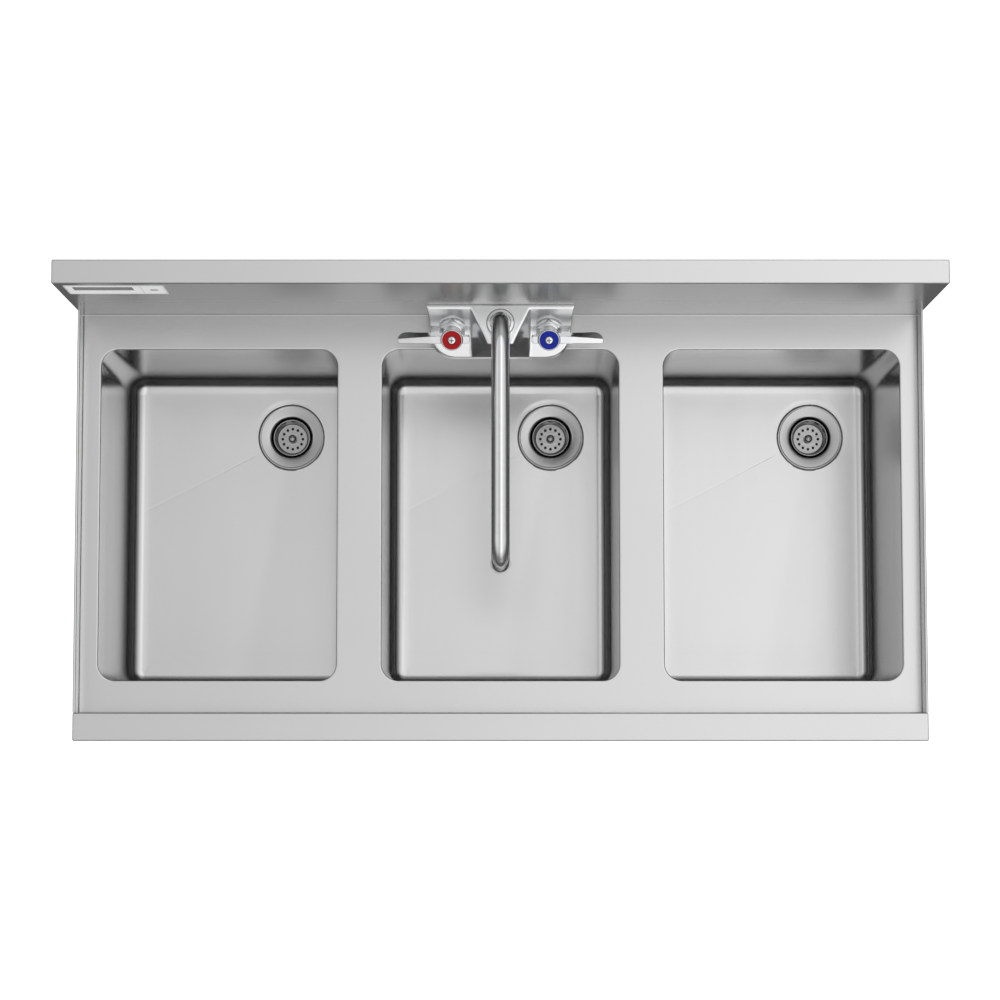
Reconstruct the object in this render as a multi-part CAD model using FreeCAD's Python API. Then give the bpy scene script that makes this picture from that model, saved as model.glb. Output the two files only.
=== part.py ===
# Three compartment sink: one deck with three deep-drawn bowls, a wall splash, a four inch
# centre wall faucet with a swing spout, lift-out basket strainers and four legs on
# levelling feet.
# Frame: +Z up, origin on the floor under the middle of the sink, +Y towards the wall.
# All sizes are in millimetres.
import FreeCAD, Part
import math
import os
from FreeCAD import Vector, Placement, Rotation

os.makedirs("parts", exist_ok=True)

# ---------------------------------------------------------------- shared dimensions
SHEET = 1.5            # 16 gauge sheet
HALF_X = 452.0         # half the overall length
FRONT_Y = -241.4       # front face of the front rim
BACK_Y = 241.4         # back of the splash
SPLASH_Y = 216.7       # front face of the splash
DECK_Z = 889.0         # top of the deck above the floor
UNDER_Z = DECK_Z - SHEET           # underside of the deck
RIM_Z = DECK_Z + 25.4              # top of the rim and side hems
APRON_Z = DECK_Z - 38.0            # bottom of the apron
RIM_BACK_Y = FRONT_Y + 29.8        # back of the front rim
HEM = 2 * SHEET                    # folded side hem
SPLASH_Z = DECK_Z + 203.2          # top of the splash

SIDES = {"left": -1, "right": 1}
X_AXIS, Y_AXIS, Z_AXIS = Vector(1, 0, 0), Vector(0, 1, 0), Vector(0, 0, 1)


# ---------------------------------------------------------------- helpers
def box(x0, x1, y0, y1, z0, z1):
    """Box between two x, two y and two z; the x pair may come in either order."""
    x0, x1 = sorted((x0, x1))
    return Part.makeBox(x1 - x0, y1 - y0, z1 - z0, Vector(x0, y0, z0))


def cylinder(radius, height, base=Vector(0, 0, 0), axis=Z_AXIS):
    return Part.makeCylinder(radius, height, base, axis)


def ring(outer, inner, z0, z1, x=0, y=0):
    bore = cylinder(inner, z1 - z0 + 2, Vector(x, y, z0 - 1))
    return cylinder(outer, z1 - z0, Vector(x, y, z0)).cut(bore)


def face(points):
    return Part.Face(Part.makePolygon(points + [points[0]]))


def revolve(profile, base_z=0.0):
    """Closed (radius, z above base_z) profile turned about Z."""
    points = [Vector(r, 0, base_z + z) for r, z in profile]
    return face(points).revolve(Vector(0, 0, 0), Z_AXIS, 360)


def extrude_yz(outline, x0, x1):
    return face([Vector(x0, y, z) for y, z in outline]).extrude(Vector(x1 - x0, 0, 0))


def extrude_xy(outline, z0, z1):
    return face([Vector(x, y, z0) for x, y in outline]).extrude(Vector(0, 0, z1 - z0))


def hexagon_points(radius, turn=0.0):
    angles = [math.radians(60 * i + turn) for i in range(6)]
    return [(radius * math.cos(a), radius * math.sin(a)) for a in angles]


def hexagon(across_flats, z0, z1, turn=0.0):
    return extrude_xy(hexagon_points(across_flats / 2 / math.cos(math.pi / 6), turn), z0, z1)


def around(radius, count, z):
    """Points evenly spaced on a circle about Z."""
    angles = [math.radians(360 / count * i) for i in range(count)]
    return [Vector(radius * math.cos(a), radius * math.sin(a), z) for a in angles]


def near(a, b):
    return abs(a - b) < 1e-6


def start(edge):
    return edge.Vertexes[0]


def is_upright(edge):
    return abs(start(edge).Z - edge.Vertexes[-1].Z) > 1


def is_circle_at(edge, z):
    return len(edge.Vertexes) == 1 and near(start(edge).Z, z)


def is_along_x(edge):
    """Straight edge along X, longer than 20."""
    if len(edge.Vertexes) != 2:
        return False
    a, b = edge.Vertexes
    return near(a.Y, b.Y) and near(a.Z, b.Z) and abs(a.X - b.X) > 20


def is_along_y(edge):
    if len(edge.Vertexes) != 2:
        return False
    a, b = edge.Vertexes
    return near(a.X, b.X) and near(a.Z, b.Z)


def fillet_where(shape, radius, test):
    edges = [e for e in shape.Edges if test(e)]
    return shape.makeFillet(radius, edges) if edges else shape


def rounded_box(cx, cy, length, width, z0, z1, radius):
    """Box centred on cx, cy with rounded upright corners."""
    block = box(cx - length / 2, cx + length / 2, cy - width / 2, cy + width / 2, z0, z1)
    return block.makeFillet(radius, [e for e in block.Edges if is_upright(e)])


def moved(shape, x=0.0, y=0.0, z=0.0):
    copy = shape.copy()
    copy.translate(Vector(x, y, z))
    return copy


def largest(shape):
    return max(shape.Solids, key=lambda solid: solid.Volume)


def save(name, *shapes):
    solids = [solid for shape in shapes for solid in shape.Solids if solid.Volume > 1e-3]
    piece = solids[0] if len(solids) == 1 else Part.makeCompound(solids)
    assert piece.isValid(), name
    piece.exportStep("parts/%s.step" % name)


# ---------------------------------------------------------------- bowls
BOWL_X, BOWL_Y = 254.0, 355.6
BOWL_PITCH = 302.3
BOWL_CY = 0.6
BOWL_R = 20.0                      # upright corners
COVE_R = 17.0                      # floor cove
LIP_Z = DECK_Z - 6.0               # deck edge turned down into the bowl
DRAIN_DX, DRAIN_DY = 58.6, 111.2   # drain from the bowl centre
APEX_Z = DECK_Z - 254.0 - 4.0      # low point of the floor, 4 under the nominal depth
SEAT_R = 38.2
SEAT_Z = APEX_Z - 1.5              # round recess for the drain flange
SEAT_H = 8.0
DRAIN_HOLE_R = 26.8
# The floor falls to the drain on four flat panels, which meet on shallow creases.
FLOOR_SLOPES = [(-0.0072, -0.0060), (0.0046, -0.0083), (-0.0121, 0.0036), (0.012, 0.012)]

bowl_x = {"left": -BOWL_PITCH, "center": 0.0, "right": BOWL_PITCH}


def bowl_block(cx, grow, top):
    """The bowl's room, or with grow its outside, as a solid."""
    bottom = APEX_Z - grow
    block = rounded_box(cx, BOWL_CY, BOWL_X + 2 * grow, BOWL_Y + 2 * grow, bottom, top,
                        BOWL_R + grow)
    floor_edges = [e for e in block.Edges if all(near(v.Z, bottom) for v in e.Vertexes)]
    block = block.makeFillet(COVE_R + grow, floor_edges)
    drain_x, drain_y = cx + DRAIN_DX, BOWL_CY + DRAIN_DY
    for slope_x, slope_y in FLOOR_SLOPES:
        normal = Vector(-slope_x, -slope_y, 1.0)
        normal.normalize()
        under = Part.makeBox(1200, 1200, 200, Vector(-600, -600, -200))
        under.Placement = Placement(Vector(drain_x, drain_y, bottom), Rotation(Z_AXIS, normal))
        block = block.cut(under)
    return block.fuse(cylinder(SEAT_R + grow, SEAT_H, Vector(drain_x, drain_y, SEAT_Z - grow)))


def bowl(cx):
    shell = bowl_block(cx, SHEET, LIP_Z).cut(bowl_block(cx, 0.0, LIP_Z + 5))
    hole_base = Vector(cx + DRAIN_DX, BOWL_CY + DRAIN_DY, SEAT_Z - 20)
    return shell.cut(cylinder(DRAIN_HOLE_R, 40, hole_base))


for side, cx in bowl_x.items():
    save("bowl_" + side, bowl(cx))


# ---------------------------------------------------------------- deck, rim and hems
HEM_FILLET = 1.3       # also rounds the deck into the bowls
RIM_RETURN = 8.0       # fold back under the apron
RIM_FILLET = 2.2
RIM_INNER_FILLET = 0.8
RIM_CAP_INSET = 0.6    # cap in from the rim's end
RIM_CAP_GAP = 0.05     # cap to the folded sheet
RIM_CAP_TOP_GAP = 0.9


def is_opening_edge(edge):
    """Edge of a bowl opening on top of the deck."""
    middle = edge.valueAt((edge.FirstParameter + edge.LastParameter) / 2)
    if abs(middle.z - DECK_Z) > 1e-4 or abs(middle.y - BOWL_CY) >= BOWL_Y / 2 + 0.01:
        return False
    return any(abs(middle.x - cx) < BOWL_X / 2 + 0.01 for cx in bowl_x.values())


def deck_panel():
    deck = box(-HALF_X + HEM, HALF_X - HEM, RIM_BACK_Y, SPLASH_Y, UNDER_Z, DECK_Z)
    for cx in bowl_x.values():
        deck = deck.fuse(rounded_box(cx, BOWL_CY, BOWL_X + 2 * SHEET, BOWL_Y + 2 * SHEET,
                                     LIP_Z, DECK_Z - SHEET / 2, BOWL_R + SHEET))
    for cx in bowl_x.values():
        deck = deck.cut(rounded_box(cx, BOWL_CY, BOWL_X, BOWL_Y, LIP_Z - 5, DECK_Z + 5, BOWL_R))
    return fillet_where(deck.removeSplitter(), HEM_FILLET, is_opening_edge)


def front_rim():
    """One folded sheet, box shaped."""
    front, back = FRONT_Y, RIM_BACK_Y
    rim = extrude_yz([
        (back, UNDER_Z), (back, RIM_Z), (front, RIM_Z), (front, APRON_Z),
        (front + RIM_RETURN, APRON_Z), (front + RIM_RETURN, APRON_Z + SHEET),
        (front + SHEET, APRON_Z + SHEET), (front + SHEET, RIM_Z - SHEET),
        (back - SHEET, RIM_Z - SHEET), (back - SHEET, UNDER_Z)], -HALF_X, HALF_X)
    rim = fillet_where(rim, RIM_FILLET, lambda e: is_along_x(e) and (
        near(start(e).Z, RIM_Z) or (near(start(e).Z, APRON_Z) and near(start(e).Y, front))))
    return fillet_where(rim, RIM_INNER_FILLET,
                        lambda e: is_along_x(e) and near(start(e).Z, RIM_Z - SHEET))


def rim_end_cap(sign):
    outer_x = sign * (HALF_X - RIM_CAP_INSET)
    inset = SHEET + RIM_CAP_GAP
    return box(outer_x, outer_x - sign * SHEET, FRONT_Y + inset, RIM_BACK_Y - inset,
               APRON_Z + inset, RIM_Z - SHEET - RIM_CAP_TOP_GAP)


def side_hem(sign):
    hem = box(sign * HALF_X, sign * (HALF_X - HEM), RIM_BACK_Y, SPLASH_Y, APRON_Z, RIM_Z)
    return fillet_where(hem, HEM_FILLET, is_along_y)


save("deck_panel", deck_panel())
save("front_rim", front_rim())
save("rim_end_caps", *[rim_end_cap(sign) for sign in SIDES.values()])
for side, sign in SIDES.items():
    save("side_hem_" + side, side_hem(sign))

# ---------------------------------------------------------------- splash
FAUCET_CC = 102.0              # valve centres
VALVE_X = FAUCET_CC / 2
SHANK_Z = DECK_Z + 42.0        # supply shank centre
SHANK_HOLE_R = 12.7
SPLASH_LIP = 30.0              # lip down at the wall
SPLASH_FILLET = 2.0
CREASE_R = 1.0                 # hollow round between deck and splash
SPLASH_CAP_INSET = 0.4
SPLASH_CAP_FLANGE = 14.0


def backsplash():
    """Folded sheet with a top return, a lip down at the wall and a bottom return."""
    lip_z = SPLASH_Z - SPLASH_LIP
    splash = extrude_yz([
        (SPLASH_Y, UNDER_Z), (SPLASH_Y, SPLASH_Z), (BACK_Y, SPLASH_Z), (BACK_Y, lip_z),
        (BACK_Y - SHEET, lip_z), (BACK_Y - SHEET, SPLASH_Z - SHEET),
        (SPLASH_Y + SHEET, SPLASH_Z - SHEET), (SPLASH_Y + SHEET, DECK_Z),
        (BACK_Y, DECK_Z), (BACK_Y, UNDER_Z)], -HALF_X, HALF_X)
    splash = fillet_where(splash, SPLASH_FILLET,
                          lambda e: is_along_x(e) and near(start(e).Z, SPLASH_Z))
    for sign in (-1, 1):
        hole_base = Vector(sign * VALVE_X, SPLASH_Y - 5, SHANK_Z)
        splash = splash.cut(cylinder(SHANK_HOLE_R, 20, hole_base, Y_AXIS))
    crease_y, crease_z = SPLASH_Y - CREASE_R, DECK_Z + CREASE_R
    crease = box(-HALF_X + HEM, HALF_X - HEM, crease_y, SPLASH_Y, DECK_Z, crease_z)
    crease = crease.cut(cylinder(CREASE_R, 2 * HALF_X, Vector(-HALF_X, crease_y, crease_z), X_AXIS))
    return splash.fuse(crease).removeSplitter()


def splash_end_cap(sign):
    """End plate with a flange against the back of the splash face."""
    outer_x = sign * (HALF_X - SPLASH_CAP_INSET)
    face_y = SPLASH_Y + SHEET
    plate = box(outer_x, outer_x - sign * SHEET, face_y, BACK_Y - SHEET,
                DECK_Z, SPLASH_Z - SHEET - 0.6)
    flange = box(outer_x, outer_x - sign * SPLASH_CAP_FLANGE, face_y, face_y + SHEET,
                 DECK_Z + 8, SPLASH_Z - 12)
    return plate.fuse(flange).removeSplitter()


def blank_label():
    """Thin blank plate at the upper left of the splash."""
    label = box(-442.5, -340.6, SPLASH_Y - 0.3, SPLASH_Y, DECK_Z + 138.7, DECK_Z + 190)
    return fillet_where(label, 2.0, lambda e: abs(start(e).Y - e.Vertexes[-1].Y) > 0.1)


save("backsplash", backsplash())
save("splash_end_caps", *[splash_end_cap(sign) for sign in SIDES.values()])
save("blank_label", blank_label())

# ---------------------------------------------------------------- legs, sockets, feet, braces
LEG_R, LEG_WALL = 20.65, 1.5       # 1 5/8 inch tube
LEG_X, LEG_Y = 420.5, 209.5
LEG_TOP, LEG_BOTTOM = UNDER_Z - 5.0, 64.0
PLATE_HALF_X, PLATE_HALF_Y = 27.0, 24.0
PLATE_Z = UNDER_Z - 4              # underside of the socket plate
CUP_H = 62.0
RIB_T = 3.0
RIB_Z = UNDER_Z - 40               # bottom of the ribs
SCREW_Z = UNDER_Z - 54
SCREW_R, SCREW_L = 4.0, 9.6
SCREW_HEX_R, SCREW_HEX_DEPTH = 2.3, 2.0
INSERT_FLANGE = 3.0                # insert flange under the leg
FOOT_GAP = 4.0                     # bare stem between foot and leg, foot screwed right in
FOOT_TOP = LEG_BOTTOM - INSERT_FLANGE - FOOT_GAP
BRACE_R, BRACE_WALL, BRACE_Z = 12.7, 1.2, 270.0


def leg_socket(leg_x, leg_y, sign_x, sign_y):
    """Plate under the deck with a cup for the leg, two ribs and a set screw boss."""
    plate = box(leg_x - PLATE_HALF_X, leg_x + PLATE_HALF_X,
                leg_y - PLATE_HALF_Y, leg_y + PLATE_HALF_Y, PLATE_Z, UNDER_Z)
    plate = fillet_where(plate, 6, is_upright)
    cup_z = PLATE_Z - CUP_H
    cup = cylinder(LEG_R + 2.05, CUP_H, Vector(leg_x, leg_y, cup_z))
    cup = fillet_where(cup, 1.5, lambda e: is_circle_at(e, cup_z))
    # ribs from the plate down the cup, on the two sides that face the middle of the sink
    inward_x, inward_y = Vector(-sign_x, 0, 0), Vector(0, -sign_y, 0)
    ribs = []
    for inward, across, reach in ((inward_x, Y_AXIS, PLATE_HALF_X),
                                  (inward_y, X_AXIS, PLATE_HALF_Y)):
        base = Vector(leg_x, leg_y, 0) - across * (RIB_T / 2)
        root = base + inward * (LEG_R + 1.2)
        tip = base + inward * reach
        top = Z_AXIS * PLATE_Z
        ribs.append(face([root + top, tip + top, root + Z_AXIS * RIB_Z]).extrude(across * RIB_T))
    boss_base = Vector(leg_x - sign_x * (LEG_R + 1.5), leg_y, SCREW_Z)
    boss = cylinder(6.5, 8.0, boss_base, inward_x)
    socket = plate.fuse([cup, boss] + ribs)
    socket = socket.cut(cylinder(LEG_R + 0.05, CUP_H, Vector(leg_x, leg_y, LEG_TOP - CUP_H)))
    screw_hole = cylinder(SCREW_R + 0.05, 40, Vector(leg_x, leg_y, SCREW_Z), inward_x)
    return socket.cut(screw_hole).removeSplitter()


def set_screw(leg_x, leg_y, sign_x):
    base = Vector(leg_x - sign_x * LEG_R, leg_y, SCREW_Z)
    screw = cylinder(SCREW_R, SCREW_L, base, Vector(-sign_x, 0, 0))
    key = extrude_yz(hexagon_points(SCREW_HEX_R), -SCREW_HEX_DEPTH, SCREW_HEX_DEPTH)
    return screw.cut(moved(key, leg_x - sign_x * (LEG_R + SCREW_L), leg_y, SCREW_Z))


def foot_insert():
    """Threaded plug in the bottom of the leg tube."""
    plug_r = LEG_R - LEG_WALL - 0.02
    return revolve([
        (8.1, -INSERT_FLANGE), (LEG_R, -INSERT_FLANGE), (LEG_R, 0), (plug_r, 0), (plug_r, 26),
        (LEG_R - LEG_WALL - 3, 30), (8.1, 30)], LEG_BOTTOM)


def foot():
    """Tapered foot with a hexagonal collar and a threaded stem."""
    stem_top = FOOT_TOP + FOOT_GAP + 42
    shape = revolve([
        (0, 0), (12.5, 0), (14.0, 1.5), (15.2, 8), (17.6, 22), (19.0, FOOT_TOP - 12),
        (19.0, FOOT_TOP - 1.2), (17.8, FOOT_TOP), (8.02, FOOT_TOP), (8.02, stem_top - 2),
        (7.0, stem_top), (0, stem_top)])
    flats = hexagon(35.0, FOOT_TOP - 10, FOOT_TOP + 0.5)
    trim = cylinder(30, 10.6, Vector(0, 0, FOOT_TOP - 10)).cut(flats)
    return shape.cut(trim.cut(cylinder(9.0, 14, Vector(0, 0, FOOT_TOP - 11))))


def brace(base, axis, length, legs):
    """Tube between two leg centres, coped to the legs."""
    tube = cylinder(BRACE_R, length, base, axis)
    tube = tube.cut(cylinder(BRACE_R - BRACE_WALL, length + 2, base - axis, axis))
    for leg_x, leg_y in legs:
        tube = tube.cut(cylinder(LEG_R, 100, Vector(leg_x, leg_y, BRACE_Z - 50)))
    return largest(tube)


sockets, set_screws, inserts = [], [], []
for end, sign_y in (("front", -1), ("rear", 1)):
    for side, sign_x in SIDES.items():
        corner = "%s_%s" % (end, side)
        leg_x, leg_y = sign_x * LEG_X, sign_y * LEG_Y
        save("leg_" + corner, ring(LEG_R, LEG_R - LEG_WALL, LEG_BOTTOM, LEG_TOP, leg_x, leg_y))
        save("foot_" + corner, moved(foot(), leg_x, leg_y))
        sockets.append(leg_socket(leg_x, leg_y, sign_x, sign_y))
        set_screws.append(set_screw(leg_x, leg_y, sign_x))
        inserts.append(moved(foot_insert(), leg_x, leg_y))
save("leg_sockets", *sockets)
save("socket_set_screws", *set_screws)
save("foot_inserts", *inserts)

for side, sign in SIDES.items():
    x = sign * LEG_X
    save("side_brace_" + side,
         brace(Vector(x, -LEG_Y, BRACE_Z), Y_AXIS, 2 * LEG_Y, [(x, -LEG_Y), (x, LEG_Y)]))
save("rear_brace", brace(Vector(-LEG_X, LEG_Y, BRACE_Z), X_AXIS, 2 * LEG_X,
                         [(-LEG_X, LEG_Y), (LEG_X, LEG_Y)]))

# ---------------------------------------------------------------- drains
# Drawn about Z. Profile rows are (radius, z from the top of the drain flange).
FLANGE_Z = SEAT_Z + 2.0
TAIL_R = 19.05                     # 1 1/2 inch tailpiece
TAIL_BORE = TAIL_R - 1.0
GASKET_TOP = SEAT_Z - SHEET
FRICTION_TOP = GASKET_TOP - 3.0
LOCKNUT_TOP = FRICTION_TOP - 1.0

DRAIN_BODY_PROFILE = [
    (37.6, -2.0), (37.6, -0.8), (37.3, -0.25), (36.7, 0), (35.9, 0), (35.2, -0.25),
    (33.0, -0.62), (30.2, -1.02), (28.0, -1.35), (26.3, -1.8), (24.8, -2.6), (23.5, -4.0),
    (22.7, -5.6), (22.4, -7.6), (22.4, -26.0), (14.0, -27.2), (14.0, -31.0), (17.5, -33.5),
    (17.5, -48.0), (23.8, -48.0), (23.8, -33.0), (26.3, -29.5), (26.3, -2.0)]
BASKET_PROFILE = [
    (20.1, -4.3), (20.3, -4.9), (19.9, -5.5), (19.5, -5.5), (18.5, -19.3), (17.5, -20.5),
    (0, -20.5), (0, -19.5), (17.0, -19.5), (17.6, -18.9), (18.6, -5.3), (19.3, -4.3)]
KNOB_PROFILE = [
    (0, -19.8), (2.6, -19.8), (2.6, -16.0), (4.4, -15.0), (4.6, -13.2), (3.9, -11.6),
    (2.4, -10.7), (1.2, -10.4), (0, -10.4)]
POST_PROFILE = [
    (0, -34.0), (2.0, -34.0), (3.0, -33.0), (3.0, -28.4), (4.6, -28.4), (4.6, -25.3),
    (3.0, -25.3), (3.0, -19.8), (0, -19.8)]
STOPPER_PROFILE = [
    (3.0, -21.5), (18.6, -21.8), (21.1, -23.2), (21.1, -24.4), (17.0, -25.2), (3.0, -25.2)]
TAIL_PROFILE = [
    (TAIL_BORE, -49.6), (22.8, -49.6), (22.8, -51.1), (TAIL_R + 0.2, -51.1),
    (TAIL_R + 0.2, -54.6), (TAIL_R, -54.6), (TAIL_R, -165.0), (TAIL_BORE, -165.0)]


def drain_body():
    """Flanged body with a cross of two bars that holds the basket post."""
    z0, z1 = FLANGE_Z - 31.0, FLANGE_Z - 28.8
    spider = cylinder(6.0, 2.6, Vector(0, 0, z0))
    spider = spider.fuse([box(-14.5, 14.5, -1.6, 1.6, z0, z1), box(-1.6, 1.6, -14.5, 14.5, z0, z1)])
    body = revolve(DRAIN_BODY_PROFILE, FLANGE_Z).fuse(spider)
    return body.cut(cylinder(3.05, 10, Vector(0, 0, FLANGE_Z - 35))).removeSplitter()


def strainer_basket():
    cup = revolve(BASKET_PROFILE, FLANGE_Z)
    for point in around(11.8, 12, FLANGE_Z - 22):
        cup = cup.cut(cylinder(1.4, 4, point))
    knob, post = revolve(KNOB_PROFILE, FLANGE_Z), revolve(POST_PROFILE, FLANGE_Z)
    return cup.fuse([knob, post]).removeSplitter()


def drain_locknut():
    """Round nut with eight notches in its lower edge."""
    nut = cylinder(36.0, 8.0, Vector(0, 0, LOCKNUT_TOP - 8.0))
    for point in around(39.0, 8, LOCKNUT_TOP - 8.5):
        nut = nut.cut(cylinder(5.0, 6.5, point))
    return nut.cut(cylinder(26.35, 12, Vector(0, 0, LOCKNUT_TOP - 10)))


def coupling_nut():
    nut = hexagon(56.0, FLANGE_Z - 54.0, FLANGE_Z - 35.5, 30.0)
    nut = nut.common(cylinder(31.2, 30, Vector(0, 0, FLANGE_Z - 60)))
    nut = nut.cut(cylinder(23.85, 20, Vector(0, 0, FLANGE_Z - 51.1)))
    return nut.cut(cylinder(TAIL_R + 0.25, 10, Vector(0, 0, FLANGE_Z - 58)))


drain_places = {side: (cx + DRAIN_DX, BOWL_CY + DRAIN_DY) for side, cx in bowl_x.items()}
# one file for each bowl
for name, shape in (("drain_body", drain_body()), ("strainer_basket", strainer_basket()),
                    ("basket_stopper", revolve(STOPPER_PROFILE, FLANGE_Z))):
    for side, (x, y) in drain_places.items():
        save("%s_%s" % (name, side), moved(shape, x, y))
# one file for all three bowls
for name, shape in (("tailpieces", revolve(TAIL_PROFILE, FLANGE_Z)),
                    ("drain_gaskets", ring(38.3, 28.4, FRICTION_TOP, GASKET_TOP)),
                    ("drain_friction_rings", ring(35.6, 27.2, LOCKNUT_TOP, FRICTION_TOP)),
                    ("drain_locknuts", drain_locknut()),
                    ("tailpiece_washers", ring(23.0, 17.6, FLANGE_Z - 49.6, FLANGE_Z - 48.0)),
                    ("drain_coupling_nuts", coupling_nut())):
    save(name, *[moved(shape, x, y) for x, y in drain_places.values()])

# ---------------------------------------------------------------- faucet body
TILT = 22.5                    # valve axes lean forward
SPOUT_Y = 196.2
SPOUT_R, SPOUT_BORE = 9.0, 7.6
SHANK_R, SHANK_BORE = 10.4, 6.5
BODY_TOP = DECK_Z + 67.0       # flat top
BODY_BOTTOM = DECK_Z + 20.0
BODY_FRONT_Y = 164.4
FACE_Y = 213.0                 # front of the flat top over the valves
KNEE_Y = 196.2                 # where the steeper face meets the valve pad
PAD_Y, PAD_Z = 189.2, DECK_Z + 51.7    # valve axis where it leaves the pad
PAD_SLOPE = math.tan(math.radians(TILT))
KNEE_Z = PAD_Z + (KNEE_Y - PAD_Y) * PAD_SLOPE
BODY_FRONT_Z = PAD_Z - (PAD_Y - BODY_FRONT_Y) * PAD_SLOPE
BACK_HALF_X, FRONT_HALF_X, CORNER_R = 78.2, 74.0, 25.4
NOSE_X, NOSE_FRONT_X = 30.8, 30.5      # half widths of the middle block
NOSE_TOP_X, NOSE_TOP_Y = 12.7, 175.3   # front corners of its flat top
NOSE_LOW_Z = BODY_BOTTOM + 12


def body_plan():
    """Outline from above: sides draw in towards the front, round front corners."""
    z = BODY_BOTTOM
    corner_x, corner_y = FRONT_HALF_X - CORNER_R, BODY_FRONT_Y + CORNER_R
    diagonal = CORNER_R * math.sqrt(0.5)
    mid_x, mid_y = corner_x + diagonal, corner_y - diagonal
    back_left, back_right = Vector(-BACK_HALF_X, SPLASH_Y, z), Vector(BACK_HALF_X, SPLASH_Y, z)
    left, right = Vector(-FRONT_HALF_X, corner_y, z), Vector(FRONT_HALF_X, corner_y, z)
    front_left = Vector(-corner_x, BODY_FRONT_Y, z)
    front_right = Vector(corner_x, BODY_FRONT_Y, z)
    edges = [Part.makeLine(back_left, left),
             Part.Arc(left, Vector(-mid_x, mid_y, z), front_left).toShape(),
             Part.makeLine(front_left, front_right),
             Part.Arc(front_right, Vector(mid_x, mid_y, z), right).toShape(),
             Part.makeLine(right, back_right),
             Part.makeLine(back_right, back_left)]
    outline = Part.Wire(Part.__sortEdges__(edges))
    return Part.Face(outline).extrude(Vector(0, 0, BODY_TOP - BODY_BOTTOM))


def body_nose():
    """Faceted block in the middle of the body, under the spout."""
    corners = [Vector(*point) for point in (
        (-NOSE_X, SPLASH_Y, BODY_TOP), (NOSE_X, SPLASH_Y, BODY_TOP),
        (NOSE_X, FACE_Y, BODY_TOP), (NOSE_TOP_X, NOSE_TOP_Y, BODY_TOP),
        (-NOSE_TOP_X, NOSE_TOP_Y, BODY_TOP), (-NOSE_X, FACE_Y, BODY_TOP),
        (-NOSE_FRONT_X, BODY_FRONT_Y, BODY_FRONT_Z), (NOSE_FRONT_X, BODY_FRONT_Y, BODY_FRONT_Z),
        (-NOSE_X, SPLASH_Y, NOSE_LOW_Z), (NOSE_X, SPLASH_Y, NOSE_LOW_Z),
        (NOSE_X, FACE_Y, NOSE_LOW_Z), (NOSE_FRONT_X, BODY_FRONT_Y, NOSE_LOW_Z),
        (-NOSE_FRONT_X, BODY_FRONT_Y, NOSE_LOW_Z), (-NOSE_X, FACE_Y, NOSE_LOW_Z))]
    # each facet lists its corners by index
    facets = [(0, 1, 2, 3, 4, 5), (5, 4, 6), (2, 7, 3), (4, 3, 7, 6), (6, 7, 11, 12),
              (13, 5, 6, 12), (2, 10, 11, 7), (0, 5, 13, 8), (1, 9, 10, 2), (0, 8, 9, 1),
              (8, 13, 12, 11, 10, 9)]
    nose = Part.Solid(Part.Shell([face([corners[i] for i in facet]) for facet in facets]))
    if nose.Volume < 0:
        nose.reverse()
    return nose


def on_axis(shape, sign):
    """Shape drawn along Z from the leaning face, put on one valve axis."""
    placed = shape.copy()
    placed.rotate(Vector(0, 0, 0), X_AXIS, TILT)
    placed.translate(Vector(sign * VALVE_X, PAD_Y, PAD_Z))
    return placed


def faucet_body():
    side_profile = extrude_yz([
        (SPLASH_Y, BODY_BOTTOM), (SPLASH_Y, BODY_TOP), (FACE_Y, BODY_TOP), (KNEE_Y, KNEE_Z),
        (BODY_FRONT_Y - 1, BODY_FRONT_Z - PAD_SLOPE), (BODY_FRONT_Y - 1, BODY_BOTTOM + 9),
        (BODY_FRONT_Y + 10, BODY_BOTTOM)], -90, 90)
    body = body_plan().common(side_profile)
    body = body.fuse(body_nose()).removeSplitter()
    body = body.fuse(cylinder(12.0, 7.5, Vector(0, SPOUT_Y, BODY_TOP - 0.5)))
    # spout bore, cross passage and the well that joins them
    body = body.cut(cylinder(SPOUT_R + 0.06, 40, Vector(0, SPOUT_Y, BODY_TOP - 27)))
    passage_base = Vector(-VALVE_X + 3, SPOUT_Y - 3, BODY_TOP - 31)
    body = body.cut(cylinder(5.0, FAUCET_CC - 6, passage_base, X_AXIS))
    body = body.cut(cylinder(5.0, 10, Vector(0, SPOUT_Y - 2, BODY_TOP - 34)))
    for sign in (-1, 1):
        # clearance above the pad, bonnet bore, valve chamber
        for radius, height, z in ((15.7, 30, 0), (11.06, 14, -12), (9.56, 30, -30)):
            body = body.cut(on_axis(cylinder(radius, height, Vector(0, 0, z)), sign))
        # inlet, then the counterbore for the shank
        for radius, height, depth in ((SHANK_BORE, 30, 22), (SHANK_R + 0.02, 10, 8)):
            base = Vector(sign * VALVE_X, SPLASH_Y - depth, SHANK_Z)
            body = body.cut(cylinder(radius, height, base, Y_AXIS))
    return largest(body.removeSplitter())


save("faucet_body", faucet_body())

# ---------------------------------------------------------------- supply shanks
SHANK_TIP_R = 10.0             # plain end that takes the supply line
SHANK_END_Y = SPLASH_Y + 23.4
WASHER_T = 1.6


def shank_cylinder(radius, length, x, offset_y):
    """Cylinder along +Y on the shank axis, from offset_y behind the splash face."""
    return cylinder(radius, length, Vector(x, SPLASH_Y + offset_y, SHANK_Z), Y_AXIS)


def supply_shank(x):
    shank = shank_cylinder(SHANK_R, 18.7, x, -8).fuse(shank_cylinder(SHANK_TIP_R, 15.0, x, 8.4))
    shank = shank.cut(shank_cylinder(SHANK_BORE, 40, x, -10)).removeSplitter()
    return fillet_where(shank, 0.6, lambda e: len(e.Vertexes) == 1
                        and near(start(e).Y, SHANK_END_Y)
                        and abs(e.Curve.Radius - SHANK_TIP_R) < 1e-3)


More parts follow.
